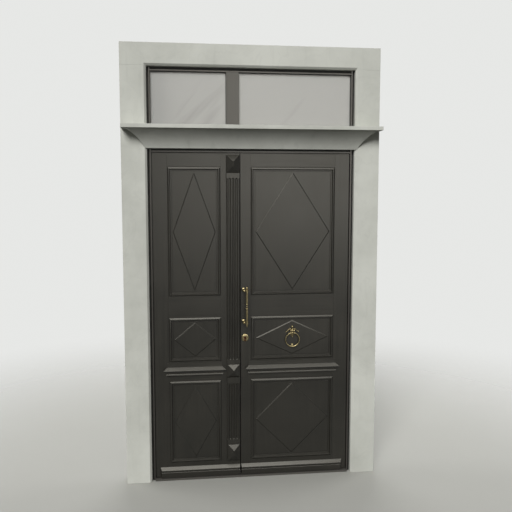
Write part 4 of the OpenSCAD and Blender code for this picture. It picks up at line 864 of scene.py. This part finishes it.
class DOOR_OT_meeting_seal(Operator):
    """Rubber strip in the right leaf's edge, which closes the gap between the leaves"""
    bl_idname = "door.meeting_seal"
    bl_label = "Meeting seal"

    def execute(self, context):
        """In plan the strip is half an ellipse with a root in the leaf, carried up the height of the leaf.
        It sits near the rear face, level with the hinges, so that the swing hardly brings it nearer the
        left leaf."""
        low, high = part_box("right_lock_stile")
        gap = low.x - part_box("left_meeting_stile")[1].x
        clear, half, root, short = 0.5 * MM, 4 * MM, 1 * MM, 2 * MM
        t = np.radians(np.linspace(-90, 90, 13))
        middle = high.y - half - root
        x = np.concatenate([[low.x + root], low.x - (gap - clear) * np.cos(t), [low.x + root]])
        y = np.concatenate([[middle - half], middle + half * np.sin(t), [middle + half]])
        ends = low.z + short, high.z - short
        strip = np.stack([np.column_stack([x, y, np.full(len(x), z)]) for z in ends])
        piece("meeting_seal", [(strip, True, True)], finish_named("epdm_rubber"), "right_leaf")
        return {"FINISHED"}


class DOOR_OT_frame_joint_painted_shade(Operator):
    """Black sealant at the bottom of the groove between the stone and the frame's lip; it is near-black to
    paint the groove's deep shade
    """
    bl_idname = "door.frame_joint"
    bl_label = "Frame joint"

    def execute(self, context):
        """Two hollow-faced strips, each up the left side of an opening, across its top and down the right
        side. A point's share of the groove's width sets how far it stands from the stone on each side."""
        look, lip = context.scene.door_colours, context.scene.door_sizes.frame_lip
        left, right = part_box("stone_jamb_left")[1].x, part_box("stone_jamb_right")[0].x
        below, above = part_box("stone_cornice")
        y = above.y - MM * np.array([0, 5, 3.8, 3.4, 3.8, 5, 0])
        share = np.array([0.01, 0.01, 0.25, 0.5, 0.75, 0.99, 0.99])
        inset = share * (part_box("frame_jamb_left")[1].x - lip - left)
        openings = (0.0, below.z, "frame_transom"), (above.z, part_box("stone_lintel")[0].z, "frame_head")
        sheets = []
        for foot, top, member in openings:
            stand = np.full(len(y), foot)
            head = top - share * (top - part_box(member)[0].z - lip)
            path = (left + inset, stand), (left + inset, head), (right - inset, head), (right - inset, stand)
            sheets.append((np.stack([np.column_stack([x, y, z]) for x, z in path]), True, True))
        # The sealant's near-black colour paints the groove's shade
        piece("frame_joint_painted_shade", sheets, rubber("butyl_mastic", look.mastic_painted_shade), "surround")
        return {"FINISHED"}


class DOOR_OT_rear_beads(Operator):
    """Small quarter-round bead round the back of each panel"""
    bl_idname = "door.rear_beads"
    bl_label = "Rear panel beads"

    def execute(self, context):
        """A quarter ellipse between two fillets, carried round each panel's opening."""
        width = context.scene.door_sizes.rear_bead
        sunk, rise, gap, fillet = 8 * MM, 7 * MM, 1 * MM, 2 * MM
        t = np.radians(np.linspace(0, 90, 9))
        for leaf in LEAVES:
            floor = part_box(f"{leaf}_hinge_stile")[1].y - sunk
            curve = zip(floor + rise * np.cos(t), gap + fillet + (width - gap - fillet) * np.sin(t))
            profile = [(floor, gap), *curve, (floor, width)]
            sheets = [frame_ring(profile, *panel_opening(leaf, *rows)) for rows in PANEL_ROWS]
            piece(f"{leaf}_rear_beads", sheets, finish_named("leaf_paint_upright"),
                  f"{leaf}_leaf")
        return {"FINISHED"}


class DOOR_PT_panel(Panel):
    """Lists the door's operators, sizes and colours"""
    bl_label = "Double Front Door"
    bl_idname = "DOOR_PT_panel"
    bl_space_type = "VIEW_3D"
    bl_region_type = "UI"
    bl_category = "Door"

    def draw(self, context):
        for operator in OPERATORS:
            self.layout.operator(operator.bl_idname)
        for group in (context.scene.door_sizes, context.scene.door_colours):
            column = self.layout.column(align=True)
            for name in group.bl_rna.properties.keys():
                if name not in ("rna_type", "name"):
                    column.prop(group, name)


OPERATORS = (DOOR_OT_stage, DOOR_OT_finishes, DOOR_OT_ledges, DOOR_OT_pull_bar, DOOR_OT_knocker,
             DOOR_OT_knocker_crown, DOOR_OT_screws, DOOR_OT_glazing_seal, DOOR_OT_meeting_seal,
             DOOR_OT_frame_joint_painted_shade, DOOR_OT_rear_beads)
CLASSES = (DoorColours, DoorSizes, *OPERATORS, DOOR_PT_panel)


def register():
    """Registers the classes and hangs their settings on the scene."""
    for cls in CLASSES:
        bpy.utils.register_class(cls)
    bpy.types.Scene.door_colours = PointerProperty(type=DoorColours)
    bpy.types.Scene.door_sizes = PointerProperty(type=DoorSizes)


def unregister():
    """Takes the settings off the scene and unregisters the classes."""
    del bpy.types.Scene.door_sizes
    del bpy.types.Scene.door_colours
    for cls in reversed(CLASSES):
        bpy.utils.unregister_class(cls)


def main():
    register()
    for operator in OPERATORS:
        family, name = operator.bl_idname.split(".")
        getattr(getattr(bpy.ops, family), name)()


if __name__ == "__main__":
    main()
